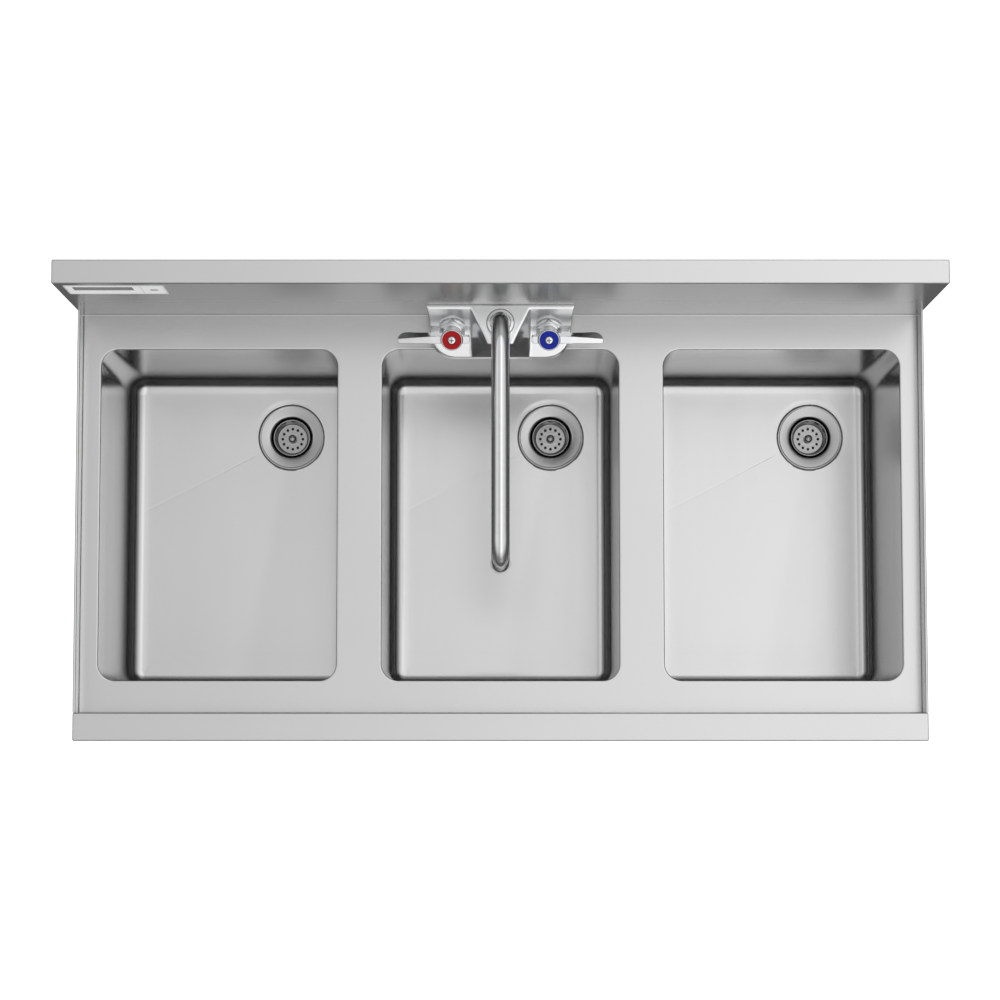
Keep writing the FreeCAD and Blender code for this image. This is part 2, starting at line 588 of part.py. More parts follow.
def shank_washer(x):
    washer = shank_cylinder(16.0, WASHER_T, x, SHEET)
    return washer.cut(shank_cylinder(SHANK_R + 0.3, 5, x, 0))


def shank_locknut(x):
    nut = hexagon(28.6, 0, 7.0)
    nut.rotate(Vector(0, 0, 0), X_AXIS, -90)
    nut.translate(Vector(x, SPLASH_Y + SHEET + WASHER_T, SHANK_Z))
    return nut.cut(shank_cylinder(SHANK_R + 0.05, 20, x, 0))


for name, build in (("supply_shanks", supply_shank), ("shank_washers", shank_washer),
                    ("shank_locknuts", shank_locknut)):
    save(name, *[build(sign * VALVE_X) for sign in (-1, 1)])

# ---------------------------------------------------------------- spout
SPOUT_REACH = 256.3
SPOUT_SLOPE = math.radians(8.3)    # the arm climbs
SPOUT_BEND = 25.4
SPOUT_Z = BODY_TOP - 25            # lower end of the tube
RISER_TOP = DECK_Z + 88.0
SPOUT_DROP = 6.0                   # straight end below the second bend
GROOVE_OFFSETS = (6.0, 12.0)       # O-ring grooves above the lower end


def spout_path():
    """Centre line of the spout and its free end."""
    def on_bend(center, angle, side):
        return Vector(0, center.y + side * SPOUT_BEND * math.cos(angle),
                      center.z + SPOUT_BEND * math.sin(angle))

    sine, cosine = math.sin(SPOUT_SLOPE), math.cos(SPOUT_SLOPE)
    base, riser_top = Vector(0, SPOUT_Y, SPOUT_Z), Vector(0, SPOUT_Y, RISER_TOP)
    rear_center = Vector(0, SPOUT_Y - SPOUT_BEND, RISER_TOP)
    rear_turn = math.pi / 2 - SPOUT_SLOPE
    arm_start = on_bend(rear_center, rear_turn, 1)
    run = (SPOUT_REACH - SPOUT_BEND * (1 + sine) - (SPOUT_Y - arm_start.y)) / cosine
    arm_end = Vector(0, arm_start.y - run * cosine, arm_start.z + run * sine)
    front_center = Vector(0, arm_end.y - SPOUT_BEND * sine, arm_end.z - SPOUT_BEND * cosine)
    front_turn = math.pi / 2 + SPOUT_SLOPE
    drop_start = Vector(0, front_center.y - SPOUT_BEND, front_center.z)
    end = Vector(0, drop_start.y, drop_start.z - SPOUT_DROP)
    path = Part.Wire([
        Part.makeLine(base, riser_top),
        Part.Arc(riser_top, on_bend(rear_center, rear_turn / 2, 1), arm_start).toShape(),
        Part.makeLine(arm_start, arm_end),
        Part.Arc(arm_end, on_bend(front_center, front_turn / 2, -1), drop_start).toShape(),
        Part.makeLine(drop_start, end)])
    return path, end


def spout_nut():
    """Round nut with 24 grip flutes."""
    bore = SPOUT_R + 0.08
    z = BODY_TOP + 0.5
    nut = revolve([
        (12.04, 0), (14.75, 0), (14.75, 9.0), (13.9, 9.9), (11.2, 10.0), (10.4, 11.0),
        (bore, 11.0), (bore, 7.9), (12.04, 7.9)], z)
    for point in around(15.1, 24, z + 1.2):
        nut = nut.cut(cylinder(0.7, 6.0, point))
    return moved(nut, 0, SPOUT_Y)


def spout_tube(path):
    def sweep(radius):
        circle = Part.Wire(Part.makeCircle(radius, Vector(0, SPOUT_Y, SPOUT_Z), Z_AXIS))
        return path.makePipeShell([circle], True, False)

    tube = sweep(SPOUT_R).cut(sweep(SPOUT_BORE))
    for offset in GROOVE_OFFSETS:
        z = SPOUT_Z + offset
        tube = tube.cut(ring(SPOUT_R + 1, SPOUT_R - 0.9, z, z + 2.2, 0, SPOUT_Y))
    collar = ring(10.7, SPOUT_R - 0.5, BODY_TOP + 7.05, BODY_TOP + 8.3, 0, SPOUT_Y)
    return largest(tube.fuse(collar).removeSplitter())


def o_ring(offset):
    z = SPOUT_Z + offset
    return ring(SPOUT_R + 0.02, SPOUT_R - 0.88, z + 0.1, z + 2.1, 0, SPOUT_Y)


def spout_outlet(end):
    socket_r = SPOUT_R + 0.02
    outlet = revolve([
        (socket_r, 3.4), (9.9, 3.4), (10.3, 2.8), (10.3, -6.8), (9.8, -7.6), (8.4, -7.6),
        (8.4, -0.02), (socket_r, -0.02)])
    return moved(outlet, 0, end.y, end.z)


def aerator_insert(end):
    """Disc with a square grid of holes."""
    pitch = 2.0
    disc = cylinder(8.38, 5.0, Vector(0, end.y, end.z - 5.6))
    for i in range(-3, 4):
        for j in range(-3, 4):
            if math.hypot(i, j) * pitch < 6.9:
                hole_base = Vector(i * pitch, end.y + j * pitch, end.z - 7)
                disc = disc.cut(cylinder(0.62, 8, hole_base))
    return disc


path, spout_end = spout_path()
save("spout_nut", spout_nut())
save("spout_tube", spout_tube(path))
save("spout_o_rings", *[o_ring(offset) for offset in GROOVE_OFFSETS])
save("spout_outlet", spout_outlet(spout_end))
save("aerator_insert", aerator_insert(spout_end))

# ---------------------------------------------------------------- valves and handles
# Drawn along Z from the leaning face; profile rows are (radius, z).
CARTRIDGE_PROFILE = [
    (4.26, -27.5), (9.5, -27.5), (9.5, -12.1), (7.9, -12.1), (7.9, -4.1), (4.26, -4.1)]
STEM_PROFILE = [
    (0, -26.5), (4.2, -26.5), (4.2, 18.0), (3.4, 18.7), (3.4, 30.0), (1.7, 30.0),
    (1.7, 21.0), (0, 21.0)]
HUB_PROFILE = [
    (0, 17.0), (8.8, 17.0), (9.8, 17.8), (11.4, 28.4), (11.5, 31.8), (10.9, 32.8),
    (9.85, 32.8), (9.85, 31.8), (0, 31.8)]
HANDLE_SCREW_PROFILE = [
    (0, 24.0), (1.65, 24.0), (1.65, 31.8), (4.4, 31.8), (4.4, 33.3), (3.4, 34.1), (0, 34.4)]
# x out from the hub, front and back y at the top, the same at the bottom, bottom z, top z
LEVER_SECTIONS = [
    (6.0, -4.2, 4.0, -4.6, 4.8, 20.5, 30.6), (22.0, -4.3, 3.4, -4.7, 5.2, 20.3, 30.4),
    (40.0, -4.4, 2.0, -4.8, 5.6, 19.8, 29.8), (58.0, -4.5, 0.4, -4.9, 5.8, 19.2, 29.0)]
# (x, y) outline that trims the lever's tip
LEVER_TRIM = [
    (0, -20), (54.0, -20), (54.0, -4.8), (56.6, -3.6), (57.2, -1.2), (55.9, 2.0),
    (52.8, 4.4), (48.0, 6.0), (48.0, 20), (0, 20)]
STUB_X = 18.4                  # end of the short stub opposite the lever


def bonnet_nut():
    nut = hexagon(26.7, 0.0, 9.0, 30.0)
    nut = nut.common(revolve([(0, 0), (15.3, 0), (15.3, 8.0), (14.0, 9.0), (0, 9.0)]))
    dome = revolve([(0, 8.5), (11.0, 8.5), (11.0, 12.6), (10.2, 14.4), (8.4, 15.5), (0, 15.5)])
    nut = nut.fuse([cylinder(11.0, 11.8, Vector(0, 0, -11.8)), dome])
    nut = nut.cut(cylinder(4.26, 40, Vector(0, 0, -20)))
    return nut.cut(cylinder(8.0, 8.2, Vector(0, 0, -12))).removeSplitter()


def cartridge():
    """Sleeve with one port through its back side."""
    return revolve(CARTRIDGE_PROFILE).cut(cylinder(2.4, 30, Vector(0, 0, -22), Y_AXIS))


def handle(sign):
    """Hub with a lever that points away from the spout and a short stub towards it."""
    sections = []
    for x, top_front, top_back, low_front, low_back, z0, z1 in LEVER_SECTIONS:
        x *= sign
        points = [Vector(x, low_front, z0), Vector(x, low_back, z0),
                  Vector(x, top_back, z1), Vector(x, top_front, z1)]
        sections.append(Part.makePolygon(points + [points[0]]))
    lever = Part.makeLoft(sections, True, True)
    lever = lever.common(extrude_xy([(sign * x, y) for x, y in LEVER_TRIM], 10, 32))
    stub = box(-sign * STUB_X, -sign * 5.0, -4.2, 3.6, 22.0, 30.2)
    stub = fillet_where(stub, 2.0, lambda e: is_upright(e) and near(abs(start(e).X), STUB_X))
    shape = revolve(HUB_PROFILE).fuse([lever, stub])
    # stem socket, its mouth and the screw hole
    for radius, height, z in ((3.42, 13.1, 17.0), (4.3, 2.0, 16.9), (1.75, 10, 26)):
        shape = shape.cut(cylinder(radius, height, Vector(0, 0, z)))
    return largest(shape.removeSplitter())


def index_ring():
    return fillet_where(ring(9.8, 4.45, 31.8, 33.8), 0.5, lambda e: is_circle_at(e, 33.8))


def handle_screw():
    """Screw with a cross slot."""
    screw = revolve(HANDLE_SCREW_PROFILE).cut(box(-2.4, 2.4, -0.45, 0.45, 33.1, 35))
    return screw.cut(box(-0.45, 0.45, -2.4, 2.4, 33.1, 35))


for name, shape in (("bonnet_nuts", bonnet_nut()), ("valve_cartridges", cartridge()),
                    ("valve_seats", ring(8.8, 4.5, -30.0, -27.6))):
    save(name, *[on_axis(shape, sign) for sign in (-1, 1)])
for name, sign in (("hot", -1), ("cold", 1)):
    save(name + "_stem", on_axis(revolve(STEM_PROFILE), sign))
    save(name + "_handle", on_axis(handle(sign), sign))
    save(name + "_index_ring", on_axis(index_ring(), sign))
    save(name + "_handle_screw", on_axis(handle_screw(), sign))
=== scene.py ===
"""Three-bowl sink on legs, with a splash along its back and a wall-type faucet on the splash.

x runs along the sink, -y is the front and +y the splash side, z is up from the studio floor.
Lengths in the geometry code are millimetres; materials, lights and camera are in metres.
"""
import bpy
import bmesh
import math
from types import SimpleNamespace
from mathutils import Vector, Matrix
from mathutils.geometry import tessellate_polygon


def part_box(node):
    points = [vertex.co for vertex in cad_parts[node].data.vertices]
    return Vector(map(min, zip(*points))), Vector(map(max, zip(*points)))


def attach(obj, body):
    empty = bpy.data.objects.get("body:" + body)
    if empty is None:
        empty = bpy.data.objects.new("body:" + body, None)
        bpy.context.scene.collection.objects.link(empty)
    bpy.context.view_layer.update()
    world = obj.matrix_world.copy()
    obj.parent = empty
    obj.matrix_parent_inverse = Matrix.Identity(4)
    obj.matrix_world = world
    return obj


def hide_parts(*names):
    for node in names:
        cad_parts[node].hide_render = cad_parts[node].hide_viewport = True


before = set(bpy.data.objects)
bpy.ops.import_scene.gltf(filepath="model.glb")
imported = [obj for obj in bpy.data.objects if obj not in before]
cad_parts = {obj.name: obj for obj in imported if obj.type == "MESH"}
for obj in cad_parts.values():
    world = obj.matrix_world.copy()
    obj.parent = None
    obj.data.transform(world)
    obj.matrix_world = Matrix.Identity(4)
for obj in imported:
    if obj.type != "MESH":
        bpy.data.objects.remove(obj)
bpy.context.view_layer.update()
scene = bpy.context.scene
MM = 0.001


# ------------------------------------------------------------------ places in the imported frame
class Box:
    """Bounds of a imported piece, in mm."""

    def __init__(self, name):
        low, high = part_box(name)
        self.x0, self.y0, self.z0 = (value / MM for value in low)
        self.x1, self.y1, self.z1 = (value / MM for value in high)
        self.mid_x = (self.x0 + self.x1) / 2
        self.mid_y = (self.y0 + self.y1) / 2
        self.mid_z = (self.z0 + self.z1) / 2


SHEET = 1.5                          # sheet thickness
DECK = Box("deck_panel")
DECK_Z = DECK.z1                     # deck surface
LIP = DECK.z1 - DECK.z0              # depth of the lip turned down into each opening
SPLASH_FRONT = Box("faucet_body").y1


def measure_bowl(side):
    """Inside size of a bowl, and where its drain lies."""
    skin, drain = Box("bowl_" + side), Box("drain_body_" + side)
    return SimpleNamespace(
        x=skin.mid_x,
        y=skin.mid_y,
        size_x=skin.x1 - skin.x0 - 2 * SHEET,
        size_y=skin.y1 - skin.y0 - 2 * SHEET,
        drain_x=drain.mid_x,
        drain_y=drain.mid_y,
        drain_z=drain.z1,
    )


BOWLS = {side: measure_bowl(side) for side in ("left", "center", "right")}


# ------------------------------------------------------------------ shader helpers
MIDDLE = (0.3, 0.7)                  # where nearly all values of a noise lie


class Graph:
    """Short ways to add nodes to a node tree."""

    def __init__(self, tree):
        self.tree = tree

    def feed(self, socket, value):
        """Link an output to the socket, or set the socket's value."""
        if isinstance(value, bpy.types.NodeSocket):
            self.tree.links.new(value, socket)
        else:
            socket.default_value = value

    def fill(self, made, **inputs):
        for name, value in inputs.items():
            self.feed(made.inputs[name.replace("_", " ")], value)

    def node(self, kind, *in_order, **inputs):
        made = self.tree.nodes.new("ShaderNode" + kind)
        for socket, value in zip(made.inputs, in_order):
            self.feed(socket, value)
        self.fill(made, **inputs)
        return made

    def math(self, operation, a, b):
        made = self.node("Math", a, b)
        made.operation = operation
        return made.outputs[0]

    def add(self, a, b):
        return self.math("ADD", a, b)

    def subtract(self, a, b):
        return self.math("SUBTRACT", a, b)

    def multiply(self, a, b):
        return self.math("MULTIPLY", a, b)

    def maximum(self, a, b):
        return self.math("MAXIMUM", a, b)

    def ramp(self, value, to, span=MIDDLE):
        """Map the span onto the range 'to', held at both ends."""
        made = self.node("MapRange", Value=value, From_Min=span[0], From_Max=span[1],
                         To_Min=to[0], To_Max=to[1])
        made.clamp = True
        return made.outputs["Result"]

    def split(self, vector):
        return self.node("SeparateXYZ", vector).outputs

    def noise(self, scale, detail=3.0, roughness=0.55, offset=(0, 0, 0)):
        place = self.node("TexCoord").outputs["Object"]
        mapped = self.node("Mapping", Vector=place, Scale=scale, Location=offset)
        return self.node("TexNoise", Vector=mapped.outputs["Vector"], Scale=1.0,
                         Detail=detail, Roughness=roughness).outputs["Fac"]


class Surface(Graph):
    """A new material and its principled shader."""

    def __init__(self, name):
        self.material = bpy.data.materials.new(name)
        self.material.use_nodes = True
        super().__init__(self.material.node_tree)
        self.bsdf = self.tree.nodes["Principled BSDF"]

    def set(self, **inputs):
        self.fill(self.bsdf, **inputs)

    def tint(self, factor, base=None):
        """Base colour times a grey factor; without a base, the colour already linked."""
        mix = self.node("Mix", Factor=1.0)
        mix.data_type = "RGBA"
        mix.blend_type = "MULTIPLY"
        colour, grey = mix.inputs[6], mix.inputs[7]
        self.feed(colour, self.base_socket() if base is None else (*base, 1))
        self.feed(grey, self.node("CombineColor", factor, factor, factor).outputs[0])
        self.set(Base_Color=mix.outputs[2])

    def base_socket(self):
        return self.bsdf.inputs["Base Color"].links[0].from_socket

    def bump(self, height, strength, distance):
        made = self.node("Bump", Height=height, Strength=strength, Distance=distance)
        self.set(Normal=made.outputs[0])

    def worn_edges(self, span):
        geometry = self.node("NewGeometry")
        return geometry, self.ramp(geometry.outputs["Pointiness"], span=span, to=(0.0, 1.0))


# ------------------------------------------------------------------ materials
# noise scale along x, y and z: low along the grain
GRAIN = {
    "x": (7, 1500, 1500),
    "y": (1500, 7, 1500),
    "z": (1500, 1500, 7),
    "iso": (420, 420, 420),
}


def steel(name, base=(0.60, 0.605, 0.60), rough=0.27, grain="x", depth=0.12, mottled=0.03,
          scratch=0.03, fine_tone=0.010, smear_tone=0.010, upright=1.0, brushed=0.0,
          turned_dark=False, grainy=1.0):
    """Grained steel.

    depth: bump strength; mottled, fine_tone, smear_tone, scratch: how far each shifts the tone;
    upright: painted shade, the tone of upright faces; brushed: anisotropy; turned_dark: painted
    light and shade, lighter towards -x and darker towards +x and -y;
    grainy: how far the grain shifts the roughness.
    """
    s = Surface(name)
    s.set(Metallic=1.0)
    grain_scale = GRAIN[grain]
    fine = s.noise(grain_scale, detail=2.0, roughness=0.6)
    broad = s.noise((5, 4, 5), detail=3.0, roughness=0.5, offset=(3.1, 1.7, 0.4))
    smear = s.noise(tuple(max(2.0, value * 0.03) for value in grain_scale),
                    detail=2.0, roughness=0.5, offset=(0.7, 0.2, 0.9))
    # long fine scratches, sparse
    line = s.noise(tuple(value * 0.4 for value in grain_scale),
                   detail=1.0, roughness=0.3, offset=(9, 4, 2))
    cut = s.ramp(line, span=(0.70, 0.74), to=(0.0, 1.0))
    # edges rubbed a little brighter
    geometry, worn = s.worn_edges(span=(0.52, 0.60))
    edge_gain, edge_polish = 0.05, 0.05

    tone = s.add(s.ramp(broad, to=(1.0 - mottled, 1.0 + mottled * 0.5)),
                 s.ramp(fine, to=(-fine_tone, fine_tone)))
    tone = s.add(tone, s.ramp(smear, to=(-smear_tone, smear_tone)))
    tone = s.add(tone, s.multiply(worn, edge_gain))
    tone = s.subtract(tone, s.multiply(cut, scratch))
    if upright != 1.0:
        # painted shade: the upright faces are darker than the flat ones
        normal = s.split(geometry.outputs["Normal"])
        tone = s.multiply(tone, s.ramp(normal[2], span=(0.4, 0.9), to=(upright, 1.0)))
        # painted light and shade: faces turned to -x lighter, faces turned to +x and -y darker
        if turned_dark:
            tone = s.multiply(tone, s.ramp(normal[0], span=(-1.0, 1.0), to=(1.16, 0.84)))
            tone = s.multiply(tone, s.ramp(normal[1], span=(-1.0, -0.3), to=(0.78, 1.0)))
    s.tint(tone, base)

    fine_rough, smear_rough = 0.02 * grainy, 0.015 * grainy
    roughness = s.add(
        s.ramp(fine, span=(0.25, 0.75), to=(rough - fine_rough, rough + fine_rough)),
        s.ramp(smear, to=(-smear_rough, smear_rough)))
    s.set(Roughness=s.subtract(roughness, s.multiply(worn, edge_polish)))
    s.bump(fine, strength=depth, distance=0.00002)
    if brushed:
        # reflections are drawn out across the grain
        across = s.node("CombineXYZ", X=0.0, Y=1.0, Z=1.0)
        s.set(Anisotropic=brushed, Tangent=across.outputs[0])
    return s.material


def chrome(name, base=(0.70, 0.705, 0.71), rough=0.09, waves=0.10, spotty=1.0):
    """Plated casting: bright, a little orange-peel (waves), faint water spots (spotty)."""
    s = Surface(name)
    s.set(Metallic=1.0)
    peel = s.noise((170, 170, 170), detail=2.0, roughness=0.5)
    spots = s.noise((60, 60, 60), detail=4.0, roughness=0.6, offset=(2, 5, 1))
    spot = s.ramp(spots, span=(0.60, 0.68), to=(0.0, 1.0))
    _, worn = s.worn_edges(span=(0.52, 0.62))
    edge_gain, spot_tone, spot_rough = 0.08, 0.03 * spotty, 0.05 * spotty

    tone = s.add(s.ramp(peel, to=(0.98, 1.02)), s.multiply(worn, edge_gain))
    s.tint(s.subtract(tone, s.multiply(spot, spot_tone)), base)
    s.set(Roughness=s.add(s.ramp(peel, to=(rough - 0.02, rough + 0.02)),
                          s.multiply(spot, spot_rough)))
    s.bump(peel, strength=waves, distance=0.00015)
    return s.material


def brass(name):
    """Turned brass, stained in patches."""
    s = Surface(name)
    s.set(Metallic=1.0)
    turning = s.noise((90, 90, 1400), detail=2.0, roughness=0.5)
    stain = s.noise((35, 35, 35), detail=4.0, roughness=0.6)
    stained = s.ramp(stain, span=(0.45, 0.72), to=(1.0, 0.62))
    s.tint(s.multiply(stained, s.ramp(turning, to=(0.95, 1.05))), base=(0.70, 0.50, 0.24))
    s.set(Roughness=s.add(s.ramp(stain, span=(0.4, 0.7), to=(0.24, 0.42)),
                          s.ramp(turning, to=(-0.04, 0.04))))
    s.bump(turning, strength=0.3, distance=0.00006)
    return s.material


def plastic(name, base, rough, coat=0.0, speck=0.05, bumpy=0.15, shine=0.5):
    """Moulded or pressed stuff; speck is how far its tone varies, shine its specular level."""
    s = Surface(name)
    cloud = s.noise((180, 180, 180), detail=4.0, roughness=0.6)
    pits = s.noise((1600, 1600, 1600), detail=2.0, roughness=0.5)
    s.tint(s.ramp(cloud, to=(1.0 - speck, 1.0 + speck)), base)
    s.set(Roughness=s.ramp(cloud, to=(rough - 0.05, rough + 0.07)),
          Coat_Weight=coat, Specular_IOR_Level=shine, Coat_Roughness=0.1)
    s.bump(pits, strength=bumpy, distance=0.00004)
    return s.material


def label_film(name, box):
    """White film with plain grey blocks, no lettering."""
    s = Surface(name)
    place = s.split(s.node("TexCoord").outputs["Object"])
    low, high = box
    width, height = high.x - low.x, high.z - low.z

    def band(value, start, end):
        return s.multiply(s.math("GREATER_THAN", value, start), s.math("LESS_THAN", value, end))

    def block(across, up):
        """Mask of a rectangle, as fractions of the label's width and height."""
        return s.multiply(
            band(place[0], low.x + width * across[0], low.x + width * across[1]),
            band(place[2], low.z + height * up[0], low.z + height * up[1]))

    large = block(across=(0.08, 0.68), up=(0.46, 0.84))
    small = block(across=(0.84, 0.92), up=(0.40, 0.58))
    rule = block(across=(0.755, 0.765), up=(0.08, 0.96))
    inside = block(across=(0.02, 0.98), up=(0.05, 0.96))
    edge = s.subtract(1.0, inside)
    # how dark each part prints
    large_ink, rule_ink, small_ink, edge_ink = 0.80, 0.45, 0.6, 0.25
    dark = s.add(s.multiply(large, large_ink), s.multiply(rule, rule_ink))
    dark = s.add(dark, s.add(s.multiply(small, small_ink), s.multiply(edge, edge_ink)))

    paper = s.noise((900, 900, 900), detail=2.0)
    tone = s.subtract(s.ramp(paper, to=(0.97, 1.03)), dark)
    darkest = 0.03
    s.tint(s.maximum(tone, darkest), base=(0.95, 0.955, 0.96))
    # painted light: the film glows with its own colour, brighter than its lighting makes it
    s.set(Emission_Color=s.base_socket(), Emission_Strength=0.33, Roughness=0.45)
    s.bump(paper, strength=0.1, distance=0.00002)
    return s.material


def chrome_with_recess_shade(name, reach=0.0015, **finish):
    """Chrome with painted shade in recesses narrower than the reach."""
    material = chrome(name, **finish)
    s = Surface.__new__(Surface)
    s.material = material
    s.tree = material.node_tree
    s.bsdf = s.tree.nodes["Principled BSDF"]
    occlusion = s.node("AmbientOcclusion", Distance=reach)
    # painted shade: darkened, almost to black, where ambient occlusion finds a recess
    s.tint(s.ramp(occlusion.outputs["AO"], span=(0.55, 0.92), to=(0.05, 1.0)))
    return material


# sheet with hardly any visible grain
PLAIN_SHEET = dict(scratch=0.0, depth=0.004, fine_tone=0.0015, smear_tone=0.0015,
                   mottled=0.02, grainy=0.1)
TUBE = dict(rough=0.22, base=(0.62, 0.62, 0.625))

MAT = {
    # painted shade in the recesses of the screw heads
    "screw": chrome_with_recess_shade("screw_chrome", base=(0.72, 0.725, 0.73), rough=0.2, waves=0.02,
                             spotty=0.3),
    "sheet": steel("sheet_steel_long_grain", grain="x", rough=0.27, **PLAIN_SHEET),
    "sheet_y": steel("sheet_steel_cross_grain", grain="y", rough=0.26, **PLAIN_SHEET),
    # painted shade on the splash's upright face
    "splash": steel("splash_steel", grain="x", rough=0.30, upright=0.80, brushed=0.5,
                    **PLAIN_SHEET),
    # painted shade on the bowl walls, with painted light and shade by which way each wall faces
    "bowl": steel("bowl_steel", grain="y", rough=0.23, base=(0.61, 0.615, 0.61), fine_tone=0.006,
                  upright=0.72, scratch=0.008, depth=0.06, turned_dark=True),
    "tube": steel("tube_steel", grain="z", scratch=0.01, depth=0.05, **TUBE),
    "tube_x": steel("tube_steel_x", grain="x", **TUBE),
    "tube_y": steel("tube_steel_y", grain="y", **TUBE),
    "hardware": steel("hardware_steel", grain="iso", rough=0.34, base=(0.50, 0.50, 0.505),
                      depth=0.5, mottled=0.10),
    "foot": steel("foot_steel", grain="iso", rough=0.26, base=(0.55, 0.555, 0.56), depth=0.3),
    "drain": steel("drain_steel", grain="iso", rough=0.20, base=(0.46, 0.462, 0.46), depth=0.05),
    # painted shade: the basket's steel is made darker than the bowls' to stand for the shade deep
    # in the drain
    "basket": steel("basket_steel_painted_shade", grain="iso", rough=0.20, base=(0.35, 0.35, 0.35), depth=0.03,
                    mottled=0.02),
    "weld": steel("weld_bead_steel", grain="iso", rough=0.36, base=(0.48, 0.485, 0.49),
                  depth=0.8, mottled=0.15),
    "chrome": chrome("faucet_chrome", rough=0.10, waves=0.04, spotty=0.4),
    "lever": chrome("lever_chrome", base=(0.72, 0.725, 0.73), rough=0.19, waves=0.03,
                    spotty=0.3),
    "tubechrome": chrome("spout_chrome", rough=0.12, waves=0.02, spotty=0.2),
    "cast": chrome("faucet_body_chrome", base=(0.78, 0.785, 0.79), rough=0.21, waves=0.015,
                   spotty=0.1),
    "brass": brass("plain_brass"),
    "rubber": plastic("black_rubber", (0.03, 0.03, 0.03), rough=0.6, speck=0.2, bumpy=0.4),
    "fibre": plastic("pressed_fibre", (0.42, 0.33, 0.22), rough=0.8, speck=0.25, bumpy=0.6),
    "red": plastic("red_ring_plastic", (0.50, 0.007, 0.009), rough=0.5, shine=0.2),
    "blue": plastic("blue_ring_plastic", (0.008, 0.025, 0.42), rough=0.5, shine=0.2),
    "grey": plastic("grey_insert_plastic", (0.35, 0.36, 0.37), rough=0.5, coat=0.1),
    "label": label_film("blank_label_film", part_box("blank_label")),
}


# ------------------------------------------------------------------ mesh helpers
def smooth(o, angle):
    """Smooth shading, with edges sharper than the angle (degrees) and open edges kept sharp."""
    mesh = o.data
    for polygon in mesh.polygons:
        polygon.use_smooth = True
    bm = bmesh.new()
    bm.from_mesh(mesh)
    limit = math.radians(angle)
    sharp = [len(e.link_faces) != 2 or e.calc_face_angle(0.0) > limit for e in bm.edges]
    bm.free()
    marks = mesh.attributes.get("sharp_edge")
    marks = marks or mesh.attributes.new("sharp_edge", "BOOLEAN", "EDGE")
    marks.data.foreach_set("value", sharp)
    mesh.update()


def clean_normals(o):
    """Drop imported split normals, so that shading follows the edges marked sharp."""
    attributes = o.data.attributes
    if "custom_normal" in attributes:
        attributes.remove(attributes["custom_normal"])


def bake_modifiers(o):
    """Swap the object's mesh for the one its modifiers give."""
    depsgraph = bpy.context.evaluated_depsgraph_get()
    baked = bpy.data.meshes.new_from_object(o.evaluated_get(depsgraph))
    o.modifiers.clear()
    o.vertex_groups.clear()
    o.data = baked
    return baked


class Shape:
    """Vertices (mm) and faces of a piece while it is being drawn."""

    def __init__(self):
        self.verts = []
        self.faces = []

    def row(self, points):
        """Add points and return the index of the first."""
        start = len(self.verts)
        self.verts.extend(points)
        return start

    def bridge(self, a, b, count):
        """Join two closed rows of points with quads."""
        for i in range(count):
            j = (i + 1) % count
            self.faces.append((a + i, a + j, b + j, b + i))

    def loft(self, rows, count):
        for a, b in zip(rows, rows[1:]):
            self.bridge(a, b, count)

    def cap(self, start, count):
        self.faces.append(tuple(range(start, start + count)))

    def tessellate(self, loops, start):
        for corners in tessellate_polygon(loops):
            self.faces.append(tuple(start + i for i in corners))

    def flat(self, loops):
        """Flat face: an outer loop and the holes in it."""
        loops = [[Vector(point) for point in loop] for loop in loops]
        start = self.row([tuple(point) for loop in loops for point in loop])
        self.tessellate(loops, start)


def piece(name, shape, mat, angle, replaced=None, body="sink", merge=1e-4):
    """Object from a shape; points closer than 'merge' mm become one."""
    mesh = bpy.data.meshes.new(name)
    bm = bmesh.new()
    verts = [bm.verts.new((x * MM, y * MM, z * MM)) for x, y, z in shape.verts]
    for face in shape.faces:
        # a face given twice, or with a corner given twice, is left out
        try:
            bm.faces.new([verts[i] for i in face])
        except ValueError:
            pass
    bmesh.ops.remove_doubles(bm, verts=bm.verts, dist=merge * MM)
    bmesh.ops.dissolve_degenerate(bm, edges=bm.edges, dist=1e-8)
    bmesh.ops.recalc_face_normals(bm, faces=bm.faces)
    bm.to_mesh(mesh)
    bm.free()
    o = bpy.data.objects.new(name, mesh)
    scene.collection.objects.link(o)
    mesh.materials.append(MAT[mat])
    smooth(o, angle)
    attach(o, body)
    if replaced:
        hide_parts(replaced)
    return o


# ------------------------------------------------------------------ bowl openings
OPEN_R = 18.2                        # corner radius of an opening
CORNER_STEPS = 14
SIDE_STEPS = (32, 22, 32, 22)        # right, back, left and front side


def outline(bowl):
    """Rounded opening, anticlockwise from the front right: [(x, y, normal x, normal y)]."""
    straight_x = bowl.size_x / 2 - OPEN_R
    straight_y = bowl.size_y / 2 - OPEN_R
    signs = ((1, -1), (1, 1), (-1, 1), (-1, -1))
    centres = [(bowl.x + sx * straight_x, bowl.y + sy * straight_y) for sx, sy in signs]
    ring = []
    for k, (x, y) in enumerate(centres):
        first = -math.pi / 2 + k * math.pi / 2
        for i in range(CORNER_STEPS + 1):
            a = first + (math.pi / 2) * i / CORNER_STEPS
            ring.append((x + OPEN_R * math.cos(a), y + OPEN_R * math.sin(a),
                         math.cos(a), math.sin(a)))
        a = first + math.pi / 2
        next_x, next_y = centres[(k + 1) % 4]
        x0, y0 = x + OPEN_R * math.cos(a), y + OPEN_R * math.sin(a)
        x1, y1 = next_x + OPEN_R * math.cos(a), next_y + OPEN_R * math.sin(a)
        for i in range(1, SIDE_STEPS[k]):
            t = i / SIDE_STEPS[k]
            ring.append((x0 + (x1 - x0) * t, y0 + (y1 - y0) * t, math.cos(a), math.sin(a)))
    return ring


def offset_ring(ring, outward, z):
    return [(x + nx * outward, y + ny * outward, z) for x, y, nx, ny in ring]


